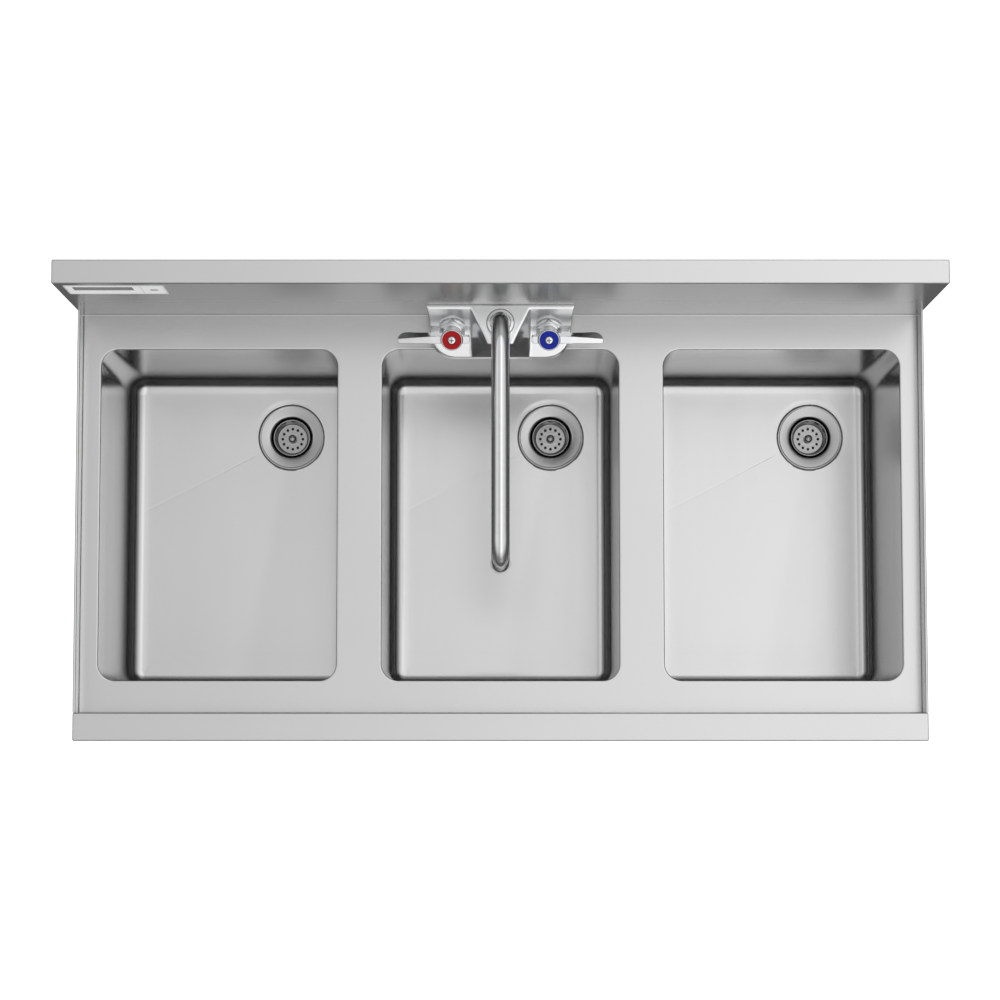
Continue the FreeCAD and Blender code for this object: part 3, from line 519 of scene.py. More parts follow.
# ------------------------------------------------------------------ bowls: walls, cove and floor
WALL_DROPS = (LIP, 60, 120, 180, 215)    # wall rows, below the deck
COVE = 16.3                          # inside radius between wall and floor
COVE_STEPS = 14
EASE = 0.055                         # slope where the cove runs out into the floor
EASE_X, EASE_Y = 3.2, 13.0           # distance over which that slope fades
COVE_END = math.pi / 2 - math.atan(EASE)
COVE_RUN = COVE * (1 - math.cos(COVE_END))
FLOOR_STEPS = 30
SEAT_R = 38.2                        # pressed seat under the drain flange
# seat rows: (radius, depth below the drain face)
SEAT = [(SEAT_R + 0.2, 0.55), (SEAT_R - 0.05, 0.8), (SEAT_R - 0.25, 1.7), (SEAT_R - 0.6, 2.0),
        (27.2, 2.0)]

# the four floor panels: (slope along x, slope along y)
PANELS = [(-0.0100, -0.0084), (0.0064, -0.0116), (-0.0169, 0.0050), (0.015, 0.015)]
PANEL_BLEND = 0.03                   # height over which panels blend where they meet
PRESS = 0.10                         # depth of the pressed line along each crease
PRESS_WIDTH = 1.1                    # its half width, PRESS_REACH away from the drain
PRESS_REACH = 200.0
PRESS_START, PRESS_RAMP = 44.0, 5.0  # where it starts from the drain, and over what length
PRESS_FADE, PRESS_LEAST = 320.0, 0.25    # length over which it fades, and the share left
# extra points on the left side, before and after the crease
CREASE_MARKS = (-4.4, -2.6, -1.5, -0.75, 0.0, 0.75, 1.5, 2.6, 4.4)
CREASE_CLEAR = 5.0


def crease_ray(panel, other, toward):
    """Unit direction along which two panels meet, pointing to the given side."""
    ux, uy = panel[1] - other[1], -(panel[0] - other[0])
    length = math.hypot(ux, uy)
    sign = 1.0 if ux * toward[0] + uy * toward[1] > 0 else -1.0
    return ux / length * sign, uy / length * sign


LEFT_CREASE = crease_ray(PANELS[0], PANELS[2], toward=(-1.0, 0.0))
FRONT_CREASE = crease_ray(PANELS[0], PANELS[1], toward=(0.0, -1.0))


def floor_rise(x, y):
    """Height over the drain: four panels, blended at the creases."""
    heights = [slope_x * x + slope_y * y for slope_x, slope_y in PANELS]
    top = max(heights)
    total = sum(math.exp((h - top) / PANEL_BLEND) for h in heights)
    return top + PANEL_BLEND * math.log(total) - PANEL_BLEND * math.log(4)


def floor_z(bowl, x, y):
    """Height of the inside of the floor."""
    edge_x = max(0.0, bowl.size_x / 2 - COVE_RUN - abs(x - bowl.x))
    edge_y = max(0.0, bowl.size_y / 2 - COVE_RUN - abs(y - bowl.y))
    ease = EASE * (EASE_X * math.exp(-edge_x / EASE_X) + EASE_Y * math.exp(-edge_y / EASE_Y))
    x, y = x - bowl.drain_x, y - bowl.drain_y
    radius = math.hypot(x, y)
    # the easing dies out over 6 mm, ending 1 mm short of the seat
    fade = min(1.0, max(0.0, (radius - SEAT_R - 1.0) / 6.0))
    line = 0.0
    for ux, uy in (LEFT_CREASE, FRONT_CREASE):
        along = x * ux + y * uy
        if along > 0:
            aside = abs(x * uy - y * ux) / radius * PRESS_REACH
            near = min(1.0, max(0.0, (along - PRESS_START) / PRESS_RAMP))
            line += (PRESS * near * max(PRESS_LEAST, 1.0 - along / PRESS_FADE)
                     * math.exp(-(aside / PRESS_WIDTH) ** 2))
    apex = bowl.drain_z - 0.5
    return apex + floor_rise(x, y) + ease * fade * fade * (3 - 2 * fade) - line


def with_crease_points(ring, left_x, crease_y):
    """Close-set points on the straight left side, round the crease's end."""
    on = [i for i, p in enumerate(ring) if abs(p[0] - left_x) < 1e-6 and abs(p[2] + 1.0) < 1e-6]
    first, last = on[0], on[-1]
    side = ring[first:last + 1]
    normal = side[0][2:]
    kept = [p for p in side if abs(p[1] - crease_y) > CREASE_CLEAR]
    kept += [(left_x, crease_y + mark, *normal) for mark in CREASE_MARKS]
    kept.sort(key=lambda p: -p[1])
    return ring[:first] + kept + ring[last + 1:]


def make_bowl(side):
    bowl = BOWLS[side]
    ux, uy = LEFT_CREASE
    reach = (bowl.x - (bowl.size_x / 2 - COVE_RUN) - bowl.drain_x) / ux
    ring = with_crease_points(outline(bowl), bowl.x - bowl.size_x / 2,
                              bowl.drain_y + uy * reach)
    count = len(ring)
    # where the cove ends, and from there the spokes to the drain: (unit x, unit y, length)
    floor_edge = [(x - nx * COVE_RUN, y - ny * COVE_RUN) for x, y, nx, ny in ring]
    spokes = []
    for x, y in floor_edge:
        dx, dy = x - bowl.drain_x, y - bowl.drain_y
        length = math.hypot(dx, dy)
        spokes.append((dx / length, dy / length, length))

    def on_spokes(radius_at):
        return [(bowl.drain_x + sx * radius_at(length), bowl.drain_y + sy * radius_at(length))
                for sx, sy, length in spokes]

    shape = Shape()
    skins = []
    for outward in (0.0, SHEET):
        levels = [offset_ring(ring, outward, DECK_Z - drop) for drop in WALL_DROPS]
        foot = [floor_z(bowl, x, y) - outward - COVE * (1 - math.sin(COVE_END))
                for x, y in floor_edge]
        cove = COVE + outward
        for k in range(COVE_STEPS + 1):
            a = COVE_END * k / COVE_STEPS
            off = outward - cove * (1 - math.cos(a))
            rise = cove * (1 - math.sin(a))
            levels.append([(x + nx * off, y + ny * off, z + rise)
                           for (x, y, nx, ny), z in zip(ring, foot)])
        floor_rows = []
        for k in range(1, FLOOR_STEPS + 1):
            t = (k / FLOOR_STEPS) ** 0.9
            floor_rows.append(on_spokes(lambda length: length + (SEAT_R + 2.6 - length) * t))
        for guard in (1.6, 0.6):
            floor_rows.append(on_spokes(lambda length: SEAT_R + guard))
        for points in floor_rows:
            levels.append([(x, y, floor_z(bowl, x, y) - outward) for x, y in points])
        for radius, depth in SEAT:
            z = bowl.drain_z - outward - depth
            levels.append([(x, y, z) for x, y in on_spokes(lambda length: radius)])
        skins.append([shape.row(level) for level in levels])
    for rows in skins:
        shape.loft(rows, count)
    inside, outside = skins
    shape.bridge(inside[0], outside[0], count)
    shape.bridge(inside[-1], outside[-1], count)
    piece("bowl_skin_" + side, shape, "bowl", angle=50, replaced="bowl_" + side)


for side in BOWLS:
    make_bowl(side)


# ------------------------------------------------------------------ deck
ROLL = 1.5                           # radius rolled over into each opening
ROLL_STEPS = 8
# rounded outer edge of the deck: (inset, depth below the surface)
DECK_EDGE = [(1.75, 0.0), (0.75, 0.0), (0.42, 0.06), (0.16, 0.28), (0.04, 0.65), (0.02, SHEET)]


def make_deck():
    """One sheet rolled over into each opening."""
    shape = Shape()
    rings = [outline(bowl) for bowl in BOWLS.values()]
    count = len(rings[0])

    def border(inset, z):
        x, front, back = DECK.x1 - inset, DECK.y0 + inset, DECK.y1 - inset * 0.2
        return [(-x, front, z), (x, front, z), (x, back, z), (-x, back, z)]

    for z, outward, inset in ((DECK_Z, ROLL + 1.0, 1.75), (DECK_Z - SHEET, ROLL + 0.01, 0.02)):
        holes = [offset_ring(ring[::-1], outward, z) for ring in rings]
        shape.flat([border(inset, z)] + holes)

    # lip section: (outward from the opening, depth below the surface)
    section = [(ROLL + 1.0, 0.0)]
    for k in range(ROLL_STEPS + 1):
        a = math.pi / 2 * k / ROLL_STEPS
        section.append((ROLL * (1 - math.sin(a)), ROLL * (1 - math.cos(a))))
    section += [(0.0, LIP), (SHEET, LIP), (SHEET, ROLL + 0.2), (ROLL + 0.01, SHEET)]
    for ring in rings:
        rows = [shape.row(offset_ring(ring, outward, DECK_Z - drop)) for outward, drop in section]
        shape.loft(rows, count)
    shape.loft([shape.row(border(inset, DECK_Z - drop)) for inset, drop in DECK_EDGE], 4)
    piece("deck_skin", shape, "sheet", angle=40, replaced="deck_panel",
          merge=0.002)


make_deck()


# ------------------------------------------------------------------ cast and forged pieces
WALL_KEEP = 0.0016                   # m of depth next to the wall that isn't softened


def softened(name, node_name, mat, body, voxel, passes, wall=None):
    """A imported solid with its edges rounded; 'wall' is the y (mm) of a face kept flat."""
    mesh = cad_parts[node_name].data.copy()
    mesh.name = name
    o = bpy.data.objects.new(name, mesh)
    scene.collection.objects.link(o)
    bm = bmesh.new()
    bm.from_mesh(mesh)
    bmesh.ops.remove_doubles(bm, verts=bm.verts, dist=1e-6)
    bm.to_mesh(mesh)
    bm.free()
    clean_normals(o)

    remesh = o.modifiers.new("voxel", "REMESH")
    remesh.mode = "VOXEL"
    remesh.voxel_size = voxel
    remesh.use_smooth_shade = True
    remeshed = bake_modifiers(o)

    soft = o.modifiers.new("soft", "SMOOTH")
    soft.iterations = passes
    soft.factor = 0.5
    if wall is not None:
        # the face that lies on the splash stays flat and sharp
        wall_y = wall * MM
        free = o.vertex_groups.new(name="free")
        loose = [v.index for v in remeshed.vertices if v.co.y < wall_y - WALL_KEEP]
        free.add(loose, 1.0, "REPLACE")
        for v in remeshed.vertices:
            if v.co.y > wall_y - voxel:
                v.co.y = wall_y
        soft.vertex_group = "free"
    done = bake_modifiers(o)
    done.name = name
    done.materials.clear()
    done.materials.append(MAT[mat])
    for polygon in done.polygons:
        polygon.use_smooth = True
    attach(o, body)
    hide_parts(node_name)


softened("faucet_casting", "faucet_body", "cast", "sink", voxel=0.0007, passes=9,
         wall=SPLASH_FRONT)
for tap in ("hot", "cold"):
    softened(tap + "_lever", tap + "_handle", "lever", tap + "_valve", voxel=0.00038, passes=6)


# ------------------------------------------------------------------ turned drains and baskets
TURN = 96                            # segments round a turned piece

# Profiles: (radius, depth below the drain face).
# Closed section of the drain cup: flange, dish down into the throat, tail, and back up outside.
CUP = [
    (37.6, 2.0), (37.6, 0.8), (37.45, 0.42), (37.2, 0.15), (36.85, 0.02), (36.4, 0.0),
    (36.0, 0.02), (35.75, 0.10), (35.45, 0.28), (35.1, 0.38), (34.6, 0.42), (33.0, 0.56),
    (30.0, 0.86), (27.4, 1.16), (25.6, 1.40), (24.9, 1.58), (24.4, 1.85), (24.0, 2.35),
    (23.65, 3.1), (23.3, 4.1), (22.95, 5.3), (22.65, 6.6), (22.4, 8.0), (22.4, 26.0),
    (14.0, 27.2), (14.0, 31.0), (17.5, 33.5), (17.5, 48.0), (23.8, 48.0), (23.8, 33.0),
    (26.3, 29.5), (26.3, 2.0),
]
HUB = [(3.05, 31.0), (6.0, 31.0), (6.0, 28.4), (3.05, 28.4)]
BAR_HALF_LENGTH, BAR_HALF_WIDTH = 14.4, 1.6
BAR_BOTTOM, BAR_TOP = 31.0, 28.8     # depths below the drain face
BAR_EASE = 0.35

PLATE_TOP, PLATE_BOTTOM = 19.5, 20.5     # basket floor, depths below the drain face
PLATE_TOP_R, PLATE_BOTTOM_R = 16.2, 17.5
KNOB_FOOT_R, POST_R = 4.4, 3.0
# basket wall, from under its floor up over the rim and down inside
BASKET_WALL = [
    (PLATE_BOTTOM_R, PLATE_BOTTOM), (18.2, 20.1), (18.7, 19.3), (20.9, 5.7), (21.15, 5.4),
    (21.3, 5.1), (21.35, 4.8), (21.3, 4.45), (21.15, 4.24), (20.95, 4.18), (20.35, 4.18),
    (20.15, 4.26), (20.0, 4.6), (19.8, 5.4), (17.8, 18.4), (17.6, 19.0), (17.25, 19.4),
    (16.8, PLATE_TOP), (PLATE_TOP_R, PLATE_TOP),
]
KNOB = [
    (KNOB_FOOT_R, PLATE_TOP), (3.4, PLATE_TOP), (2.9, 19.2), (2.6, 18.6), (2.6, 16.6),
    (3.0, 15.7), (4.0, 15.1), (4.5, 14.3), (4.6, 13.3), (4.35, 12.3), (3.7, 11.4), (2.7, 10.8),
    (1.5, 10.5), (0.6, 10.41), (0.0, 10.4),
]
POST = [
    (POST_R, PLATE_BOTTOM), (POST_R, 25.3), (4.4, 25.3), (4.6, 25.5), (4.6, 28.2), (4.4, 28.4),
    (POST_R, 28.4), (POST_R, 33.0), (2.0, 34.0), (0.0, 34.0),
]
HOLES, HOLE_R, HOLE_CIRCLE_R, HOLE_SEGMENTS = 12, 1.65, 11.8, 20


def circle(x, y, radius, z, segments):
    angles = [2 * math.pi * i / segments for i in range(segments)]
    return [(x + radius * math.cos(a), y + radius * math.sin(a), z) for a in angles]


def below(face_z, profile):
    """Profile depths turned into heights."""
    return [(radius, face_z - depth) for radius, depth in profile]


def turn(shape, profile, x, y, closed=False, segments=TURN):
    """Profile (radius, z) turned about the upright at (x, y); radius 0 closes the end."""
    rows = []
    for radius, z in profile:
        if radius < 1e-6:
            rows.append([shape.row([(x, y, z)])] * segments)
        else:
            start = shape.row(circle(x, y, radius, z, segments))
            rows.append(range(start, start + segments))
    if closed:
        rows.append(rows[0])
    for a, b in zip(rows, rows[1:]):
        for i in range(segments):
            j = (i + 1) % segments
            # corners that coincide on the axis count once
            shape.faces.append(tuple(dict.fromkeys((a[i], a[j], b[j], b[i]))))


def eased(points, cut=0.25, steps=3):
    """Inner corners of a profile turned into short curves."""
    rounded = [points[0]]
    for before, corner, after in zip(points, points[1:], points[2:]):
        before, corner, after = Vector(before), Vector(corner), Vector(after)
        to_before, to_after = before - corner, after - corner
        reach = min(cut, to_before.length * 0.4, to_after.length * 0.4)
        start = corner + to_before.normalized() * reach
        end = corner + to_after.normalized() * reach
        for k in range(steps + 1):
            t = k / steps
            point = start * (1 - t) ** 2 + corner * (2 * t * (1 - t)) + end * t * t
            rounded.append((point.x, point.y))
    return rounded + [points[-1]]


def cross_bar(shape, bowl, along_x):
    """Level bar through the drain's centre, with eased long edges."""
    middle, across = bowl.drain_x, bowl.drain_y
    if not along_x:
        middle, across = across, middle
    w0, w1 = across - BAR_HALF_WIDTH, across + BAR_HALF_WIDTH
    z0, z1 = bowl.drain_z - BAR_BOTTOM, bowl.drain_z - BAR_TOP
    e = BAR_EASE
    section = [(w0 + e, z0), (w1 - e, z0), (w1, z0 + e), (w1, z1 - e),
               (w1 - e, z1), (w0 + e, z1), (w0, z1 - e), (w0, z0 + e)]
    rows = [shape.row([(end, w, z) if along_x else (w, end, z) for w, z in section])
            for end in (middle - BAR_HALF_LENGTH, middle + BAR_HALF_LENGTH)]
    shape.loft(rows, len(section))
    for start in rows:
        shape.cap(start, len(section))


def make_drain(side):
    bowl = BOWLS[side]
    x, y, face_z = bowl.drain_x, bowl.drain_y, bowl.drain_z
    shape = Shape()
    turn(shape, below(face_z, CUP), x, y, closed=True)
    cross_bar(shape, bowl, along_x=True)
    cross_bar(shape, bowl, along_x=False)
    turn(shape, eased(below(face_z, HUB)), x, y, closed=True, segments=48)
    piece("drain_cup_" + side, shape, "drain", angle=38,
          replaced="drain_body_" + side, merge=1e-5)


def make_basket(side):
    bowl = BOWLS[side]
    x, y, face_z = bowl.drain_x, bowl.drain_y, bowl.drain_z
    top, bottom = face_z - PLATE_TOP, face_z - PLATE_BOTTOM
    shape = Shape()
    turn(shape, below(face_z, BASKET_WALL), x, y)
    angles = [math.radians(360 // HOLES * i) for i in range(HOLES)]
    holes = [(x + HOLE_CIRCLE_R * math.cos(a), y + HOLE_CIRCLE_R * math.sin(a)) for a in angles]
    for z, outer, inner in ((top, PLATE_TOP_R, KNOB_FOOT_R), (bottom, PLATE_BOTTOM_R, POST_R)):
        loops = [circle(x, y, outer, z, TURN), circle(x, y, inner, z, TURN)[::-1]]
        loops += [circle(hx, hy, HOLE_R, z, HOLE_SEGMENTS)[::-1] for hx, hy in holes]
        shape.flat(loops)
    for hx, hy in holes:
        turn(shape, [(HOLE_R, top), (HOLE_R, bottom)], hx, hy, segments=HOLE_SEGMENTS)
    turn(shape, below(face_z, KNOB), x, y)
    turn(shape, below(face_z, POST), x, y)
    piece("basket_shell_" + side, shape, "basket", angle=38,
          replaced="strainer_basket_" + side, body="basket_" + side)


for side in BOWLS:
    make_drain(side)
    make_basket(side)


# ------------------------------------------------------------------ spout
SPOUT_TUBE_R = 9.5                   # tube of 3/4 inch outside diameter
SPOUT_END_R = 9.0                    # foot and tip
SPOUT_BEAD_R = 10.6                  # bead under the nut
SPOUT_BORE_R = 7.6
SPOUT_BEND_R = 25.4
SPOUT_SLOPE = math.radians(8.3)      # climb of the long run towards the front
SPOUT_SEGMENTS = 64


def make_spout():
    """Bent tube: up from the casting, forward on a slope, and down into the outlet."""
    nut, outlet = Box("spout_nut"), Box("spout_outlet")
    foot_y, tip_y = nut.mid_y, outlet.mid_y
    foot_z = Box("spout_tube").z0
    casting_z = nut.z0 - 0.5         # flat top of the casting
    bend_z = casting_z + 21.0
    slope, bend_r = SPOUT_SLOPE, SPOUT_BEND_R

    # path stations (y, z, direction), and the outer radius at each
    heights = [foot_z, foot_z + 5.0]
    heights += [casting_z + rise for rise in (-8.0, -1.0, 6.9, 7.1, 8.3, 8.5, 11.6, 12.6)]
    path = [(foot_y, z, math.pi / 2) for z in heights + [bend_z]]
    radii = [SPOUT_END_R] * 5 + [SPOUT_BEAD_R] * 2 + [SPOUT_END_R] * 2

    centre = Vector((foot_y - bend_r, bend_z))
    for k in range(1, 21):
        a = (math.pi / 2 - slope) * k / 20
        path.append((centre.x + bend_r * math.cos(a), centre.y + bend_r * math.sin(a),
                     math.pi / 2 + a))
    y, z, _ = path[-1]
    run = (y - tip_y - bend_r * (1 + math.sin(slope))) / math.cos(slope)
    for k in range(1, 25):
        path.append((y - run * math.cos(slope) * k / 24, z + run * math.sin(slope) * k / 24,
                     math.pi - slope))
    # from the climb, over, and down into the outlet
    y, z, _ = path[-1]
    y, z = y - bend_r * math.sin(slope), z - bend_r * math.cos(slope)
    for k in range(1, 25):
        a = math.pi / 2 - slope + (math.pi / 2 + slope) * k / 24
        path.append((y + bend_r * math.cos(a), z + bend_r * math.sin(a), a + math.pi / 2))
    path.append((path[-1][0], outlet.z0 + 7.6, 1.5 * math.pi))
    radii += [SPOUT_TUBE_R] * (len(path) - len(radii) - 1) + [SPOUT_END_R]

    shape = Shape()
    rows = []
    bore = [(station, SPOUT_BORE_R) for station in reversed(path)]
    for (y, z, direction), radius in list(zip(path, radii)) + bore:
        across_y, across_z = math.sin(direction), -math.cos(direction)
        angles = [2 * math.pi * k / SPOUT_SEGMENTS for k in range(SPOUT_SEGMENTS)]
        rows.append(shape.row([(radius * math.cos(a), y + radius * math.sin(a) * across_y,
                                z + radius * math.sin(a) * across_z) for a in angles]))
    shape.loft(rows + rows[:1], SPOUT_SEGMENTS)
    piece("spout_bend", shape, "tubechrome", angle=40, replaced="spout_tube",
          body="spout", merge=1e-5)


make_spout()


# ------------------------------------------------------------------ folded sheet
END_CURVE = 1.4                      # how far the outer skin curves in at both ends
END_STEPS = 6
LENGTH_STEPS = 24


def folded(outer, inner, x_end):
    """Long profile along x, from -x_end to x_end.

    outer and inner: [(y, z, normal y, normal z)] from the same start edge to the same end edge.
    """
    shape = Shape()
    straight = x_end - END_CURVE - 1.0
    # (x, how far the outer skin is drawn in)
    ends = []
    for k in range(END_STEPS + 1):
        a = math.pi / 2 * k / END_STEPS
        ends.append((x_end - END_CURVE * (1 - math.cos(a)), END_CURVE * (1 - math.sin(a))))
    ends.append((straight, 0.0))
    middle = [(straight - 2 * straight * k / LENGTH_STEPS, 0.0) for k in range(1, LENGTH_STEPS)]
    stations = [(-x, drawn) for x, drawn in ends] + middle[::-1] + ends[::-1]
    rows = []
    for x, drawn in stations:
        rows.append(shape.row([(x, y - ny * drawn, z - nz * drawn) for y, z, ny, nz in outer]))
        shape.row([(x, y, z) for y, z, _, _ in inner[::-1]])
    count = len(outer) + len(inner)
    shape.loft(rows, count)
    for start in (rows[0], rows[-1]):
        loop = [Vector((0, y, z)) for _, y, z in shape.verts[start:start + count]]
        shape.tessellate([loop], start)
    return shape


def arc(y, z, radius, start, end, steps=6):
    """Points of a fold with their outward normals, angles in degrees."""
    points = []
    for i in range(steps + 1):
        a = math.radians(start + (end - start) * i / steps)
        points.append((y + radius * math.cos(a), z + radius * math.sin(a),
                       math.cos(a), math.sin(a)))
    return points


def plain(points):
    """Points of the inner skin, which isn't drawn in and needs no normals."""
    return [(y, z, 0, 0) for y, z in points]


def add_crease(shape):
    """Small curve where deck and splash meet."""
    section = [(SPLASH_FRONT + 0.2, DECK_Z - 0.2)]
    for degrees in range(-90, 1, 15):
        a = math.radians(degrees)
        section.append((SPLASH_FRONT - 1.0 + math.cos(a), DECK_Z + 1.0 + math.sin(a)))
    rows = []
    for k in range(25):
        x = -DECK.x1 + 2 * DECK.x1 * k / 24
        rows.append(shape.row([(x, y, z) for y, z in section]))
    shape.loft(rows, len(section))
    for start in (rows[0], rows[-1]):
        shape.cap(start, len(section))


def cut_hole(o, centre, radius):
    """Cut a round hole along y."""
    bm = bmesh.new()
    bmesh.ops.create_cone(bm, cap_ends=True, segments=48, radius1=radius * MM,
                          radius2=radius * MM, depth=0.02)
    bmesh.ops.rotate(bm, verts=bm.verts, cent=(0, 0, 0),
                     matrix=Matrix.Rotation(math.pi / 2, 3, "X"))
    bmesh.ops.translate(bm, verts=bm.verts, vec=Vector(centre) * MM)
    mesh = bpy.data.meshes.new("cutter")
    bm.to_mesh(mesh)
    bm.free()
    cutter = bpy.data.objects.new("cutter", mesh)
    scene.collection.objects.link(cutter)
    hole = o.modifiers.new("hole", "BOOLEAN")
    hole.operation = "DIFFERENCE"
    hole.solver = "EXACT"
    hole.object = cutter
    bake_modifiers(o)
    bpy.data.objects.remove(cutter)
    smooth(o, 40)


def make_splash():
    box = Box("backsplash")
    front, back, top = SPLASH_FRONT, box.y1, box.z1
    t, r = SHEET, 2.0                # sheet and fold radius
    back_foot = top - 30             # lower edge of the back flange
    outer = [(front, DECK_Z - t, -1, 0), (front, top - r - 1.0, -1, 0)]
    outer += arc(front + r, top - r, r, 180, 90)
    outer += [(front + r + 1.0, top, 0, 1), (back - r - 1.0, top, 0, 1)]
    outer += arc(back - r, top - r, r, 90, 0)
    outer += [(back, back_foot, 1, 0)]
    inner = plain([(back, DECK_Z - t), (back, DECK_Z), (front + t, DECK_Z), (front + t, top - t),
                   (back - t, top - t), (back - t, back_foot)])
    shape = folded(outer, inner, box.x1)
    add_crease(shape)
    o = piece("splash_skin", shape, "splash", angle=40, replaced="backsplash")
    # holes for the two supply shanks, under their washers
    washers = Box("shank_washers")
    shank_x = washers.x1 - (washers.z1 - washers.z0) / 2
    for x in (-shank_x, shank_x):
        cut_hole(o, (x, front, washers.mid_z), radius=12.7)


def make_rim():
    box = Box("front_rim")
    front, back, bottom, top = box.y0, box.y1, box.z0, box.z1
    t, r, inner_r = SHEET, 2.2, 0.8  # sheet, outer and inner fold radius
    hem = front + 8                  # edge of the flange turned in at the bottom
    outer = [(back, DECK_Z - t, 1, 0), (back, top - r - 1.0, 1, 0)]
    outer += arc(back - r, top - r, r, 0, 90)
    outer += [(back - r - 1.0, top, 0, 1), (front + r + 1.0, top, 0, 1)]
    outer += arc(front + r, top - r, r, 90, 180)
    outer += [(front, top - r - 1.0, -1, 0), (front, bottom + r + 1.0, -1, 0)]
    outer += arc(front + r, bottom + r, r, 180, 270)
    outer += [(front + r + 1.0, bottom, 0, -1), (hem, bottom, 0, -1)]
    inner = plain([(back - t, DECK_Z - t)])
    inner += arc(back - t - inner_r, top - t - inner_r, inner_r, 0, 90, steps=3)
    inner += arc(front + t + inner_r, top - t - inner_r, inner_r, 90, 180, steps=3)
    inner += plain([(front + t, bottom + t), (hem, bottom + t)])
    piece("rim_skin", folded(outer, inner, box.x1), "sheet", angle=40,
          replaced="front_rim")


make_splash()
make_rim()


# ------------------------------------------------------------------ weld beads
BEAD_R = 1.5
BEAD_RIPPLE = 0.18                   # share of the radius
BEAD_PITCH = 2.2                     # from ripple to ripple, in three steps
BEAD_SEGMENTS = 8
COPE_R = 20.65                       # radius of the hollow in the brace ends
WELD_SPREAD = 1.02                   # path size over brace size


def bead(name, path):
    """Rippled bead along a closed path of points."""
    corners = [Vector(point) for point in path]
    spans = [(a, b, (b - a).length) for a, b in zip(corners, corners[1:] + corners[:1])]
    total = sum(length for _, _, length in spans)
    count = int(total / (BEAD_PITCH / 3))
    points = []
    for k in range(count):
        ahead = total * k / count
        passed = 0.0
        for a, b, length in spans:
            if ahead <= passed + length + 1e-9:
                points.append(a + (b - a) * ((ahead - passed) / length))
                break
            passed += length
    shape = Shape()
    rows = []
    for k, point in enumerate(points):
        along = (points[(k + 1) % count] - points[k - 1]).normalized()
        up = Vector((0, 0, 1)) if abs(along.z) < 0.9 else Vector((1, 0, 0))
        u = along.cross(up).normalized()
        w = along.cross(u).normalized()
        radius = BEAD_R * (1 + BEAD_RIPPLE * math.sin(2 * math.pi * k / 3.0))
        angles = [2 * math.pi * j / BEAD_SEGMENTS for j in range(BEAD_SEGMENTS)]
        rows.append(shape.row([
            tuple(point + u * (radius * math.cos(a)) + w * (radius * math.sin(a)))
            for a in angles]))
    shape.loft(rows + rows[:1], BEAD_SEGMENTS)
    piece(name, shape, "weld", angle=80)


def brace_weld(name, node_name, axis):
    """A bead round each end of a brace that lies along the axis (0 for x, 1 for y)."""
    across = 1 - axis
    low, high = (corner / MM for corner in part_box(node_name))
    middle = [(a + b) / 2 for a, b in zip(low, high)]
    radius = (high[across] - low[across]) / 2
    deepest = COPE_R - math.sqrt(COPE_R ** 2 - radius * radius)
    for k, (end, inward) in enumerate(((low[axis], 1), (high[axis], -1))):
        path = []
        for i in range(36):
            a = 2 * math.pi * i / 36
            aside = radius * math.cos(a)
            cope = COPE_R - math.sqrt(COPE_R ** 2 - aside * aside)
            point = [0.0, 0.0, middle[2] + radius * WELD_SPREAD * math.sin(a)]
            point[across] = middle[across] + aside * WELD_SPREAD
            point[axis] = end + inward * (deepest - cope + 0.6)
            path.append(point)
        bead("%s_%d" % (name, k), path)


brace_weld("weld_side_left", "side_brace_left", axis=1)
brace_weld("weld_side_right", "side_brace_right", axis=1)
brace_weld("weld_rear", "rear_brace", axis=0)

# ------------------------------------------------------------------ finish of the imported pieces
FINISHES = {
    "splash": "backsplash",
    "sheet": "front_rim deck_panel",
    "sheet_y": "side_hem_left side_hem_right rim_end_caps",
    "tube": "splash_end_caps",
    "tube_y": "side_brace_left side_brace_right",
    "tube_x": "rear_brace",
    "hardware": "leg_sockets foot_inserts",
    "foot": "socket_set_screws",
    "rubber": "drain_gaskets spout_o_rings valve_seats tailpiece_washers",
    "fibre": "drain_friction_rings",
    "brass": "drain_locknuts drain_coupling_nuts tailpieces supply_shanks shank_washers "
             "shank_locknuts valve_cartridges hot_stem cold_stem",
    "red": "hot_index_ring",
    "blue": "cold_index_ring",
    "grey": "aerator_insert",
    "label": "blank_label",
    "tubechrome": "spout_tube",
    "chrome": "spout_outlet spout_nut bonnet_nuts hot_handle cold_handle",
    "screw": "hot_handle_screw cold_handle_screw",
    "cast": "faucet_body",
}
FINISH_OF = {name: mat for mat, names in FINISHES.items() for name in names.split()}
BEVELLED = ("backsplash", "front_rim", "splash_end_caps", "rim_end_caps", "blank_label")


def finish_of(name):
    if name in FINISH_OF:
        return FINISH_OF[name]
    if name.startswith("leg_"):
        return "tube"
    if name.startswith("foot_"):
        return "foot"
    if "stopper" in name:
        return "rubber"
    return "bowl" if name.startswith("bowl_") else "drain"


for name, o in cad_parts.items():
    o.data.materials.clear()
    o.data.materials.append(MAT[finish_of(name)])
    clean_normals(o)
    if name in BEVELLED:
        bevel = o.modifiers.new("eased_edges", "BEVEL")
        bevel.width = 0.00012 if name == "blank_label" else 0.0007
        bevel.segments = 3
        bevel.limit_method = "ANGLE"
        bevel.angle_limit = math.radians(40)
        bevel.use_clamp_overlap = True
        smooth(o, 95.0)
    else:
        smooth(o, 42.0 if name.startswith(("drain_body", "strainer")) else 30.0)


# ------------------------------------------------------------------ floor, light and camera
WHITE = (1, 1, 1, 1)
GLOW = 0.72                          # light added to the floor as the camera sees it
BOUNCE = (0.13, 0.55)                # least and most light the floor gives the sink


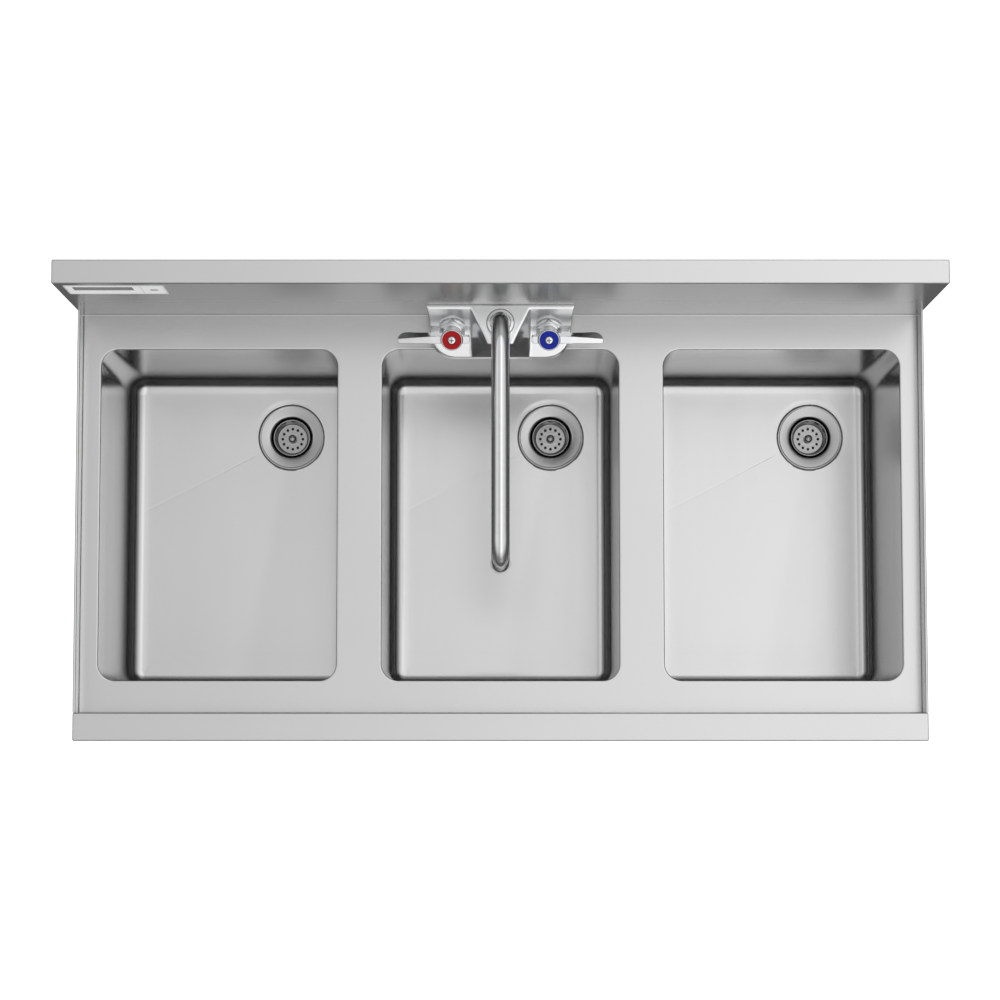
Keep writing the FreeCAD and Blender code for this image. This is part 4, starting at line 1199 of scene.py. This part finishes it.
def floor_bounce(s, position):
    """Where the floor lights the sink: under it, behind it and in a wide ring round it.

    It keeps off the strip next to the sink's outline. Spans along one axis or outward are
    squared metres, except for y in 'behind'.
    """
    x, y = position[0], position[1]
    xx, yy = s.multiply(x, x), s.multiply(y, y)
    outward = s.add(xx, yy)
    ring = s.multiply(s.ramp(outward, span=(0.56, 1.21), to=(0.0, 1.0)),
                      s.ramp(outward, span=(5.0, 9.0), to=(1.0, 0.0)))
    under = s.multiply(s.ramp(xx, span=(0.09, 0.17), to=(1.0, 0.0)),
                       s.ramp(yy, span=(0.014, 0.044), to=(1.0, 0.0)))
    behind = s.multiply(s.ramp(y, span=(0.45, 0.90), to=(0.0, 1.0)),
                        s.ramp(xx, span=(5.0, 9.0), to=(1.0, 0.0)))
    return s.maximum(s.maximum(ring, under), behind)


def floor_material():
    s = Surface("studio_floor")
    s.set(Roughness=0.6)
    s.tint(s.ramp(s.noise((3, 3, 3)), to=(0.99, 1.01)), base=(0.86, 0.86, 0.86))
    from_camera = s.node("LightPath").outputs["Is Camera Ray"]
    glow = s.node("Emission", Strength=GLOW, Color=WHITE)
    seen = s.node("AddShader", s.bsdf.outputs[0], glow.outputs[0])
    geometry = s.node("NewGeometry")
    bounce = floor_bounce(s, s.split(geometry.outputs["Position"]))
    light = s.node("Emission", Strength=BOUNCE[0], Color=WHITE)
    s.fill(light, Strength=s.ramp(bounce, span=(0.0, 1.0), to=BOUNCE))
    above = s.node("MixShader", from_camera, light.outputs[0], seen.outputs[0])
    # seen from below the floor is clear, so that the underside can be looked at
    clear = s.node("BsdfTransparent")
    from_below = s.multiply(from_camera, geometry.outputs["Backfacing"])
    whole = s.node("MixShader", from_below, above.outputs[0], clear.outputs[0])
    s.fill(s.tree.nodes["Material Output"], Surface=whole.outputs[0])
    return s.material


def make_floor():
    material = floor_material()
    mesh = bpy.data.meshes.new("studio_floor")
    half = 20
    mesh.from_pydata([(-half, -half, 0), (half, -half, 0), (half, half, 0), (-half, half, 0)],
                     [], [(0, 1, 2, 3)])
    floor = bpy.data.objects.new("studio_floor", mesh)
    scene.collection.objects.link(floor)
    mesh.materials.append(material)


def make_world():
    """Soft sky, brighter overhead and towards +x; plain white to the camera."""
    world = bpy.data.worlds.new("studio")
    scene.world = world
    world.use_nodes = True
    g = Graph(world.node_tree)
    x, y, z = g.split(g.node("TexCoord").outputs["Generated"])
    overhead = g.ramp(z, span=(0.10, 0.66), to=(0.12, 1.0))
    side_gain = g.ramp(x, span=(-0.22, 0.22), to=(0.64, 1.52))
    right_fall = g.ramp(x, span=(0.24, 0.52), to=(1.0, 0.62))
    left_lift = g.ramp(x, span=(-0.60, -0.24), to=(1.50, 1.0))
    front = g.ramp(y, span=(-0.95, -0.55), to=(0.34, 0.0))
    level = g.multiply(g.multiply(g.maximum(overhead, front), side_gain),
                       g.multiply(right_fall, left_lift))
    # low band behind the sink
    rear = g.multiply(g.ramp(y, span=(0.60, 0.86), to=(0.0, 0.5)),
                      g.ramp(z, span=(0.06, 0.20), to=(1.0, 0.0)))
    level = g.maximum(level, rear)
    mix = g.node("Mix", g.node("LightPath").outputs["Is Camera Ray"])
    mix.data_type = "FLOAT"
    g.feed(mix.inputs[2], level)
    g.feed(mix.inputs[3], 1.0)
    g.fill(g.tree.nodes["Background"], Strength=mix.outputs[0], Color=WHITE)


def make_camera():
    """Nearly straight down from above, leaning towards the splash."""
    scene.view_settings.view_transform = "Standard"
    data = bpy.data.cameras.new("camera")
    data.lens = 100.0
    data.sensor_width = 36.0
    data.clip_end = 100
    camera = bpy.data.objects.new("camera", data)
    scene.collection.objects.link(camera)
    camera.location = (-0.0005, -0.2435, DECK_Z * MM + 2.9655)
    camera.rotation_euler = (math.radians(5.0), 0, 0)
    scene.camera = camera


make_floor()
make_world()
make_camera()
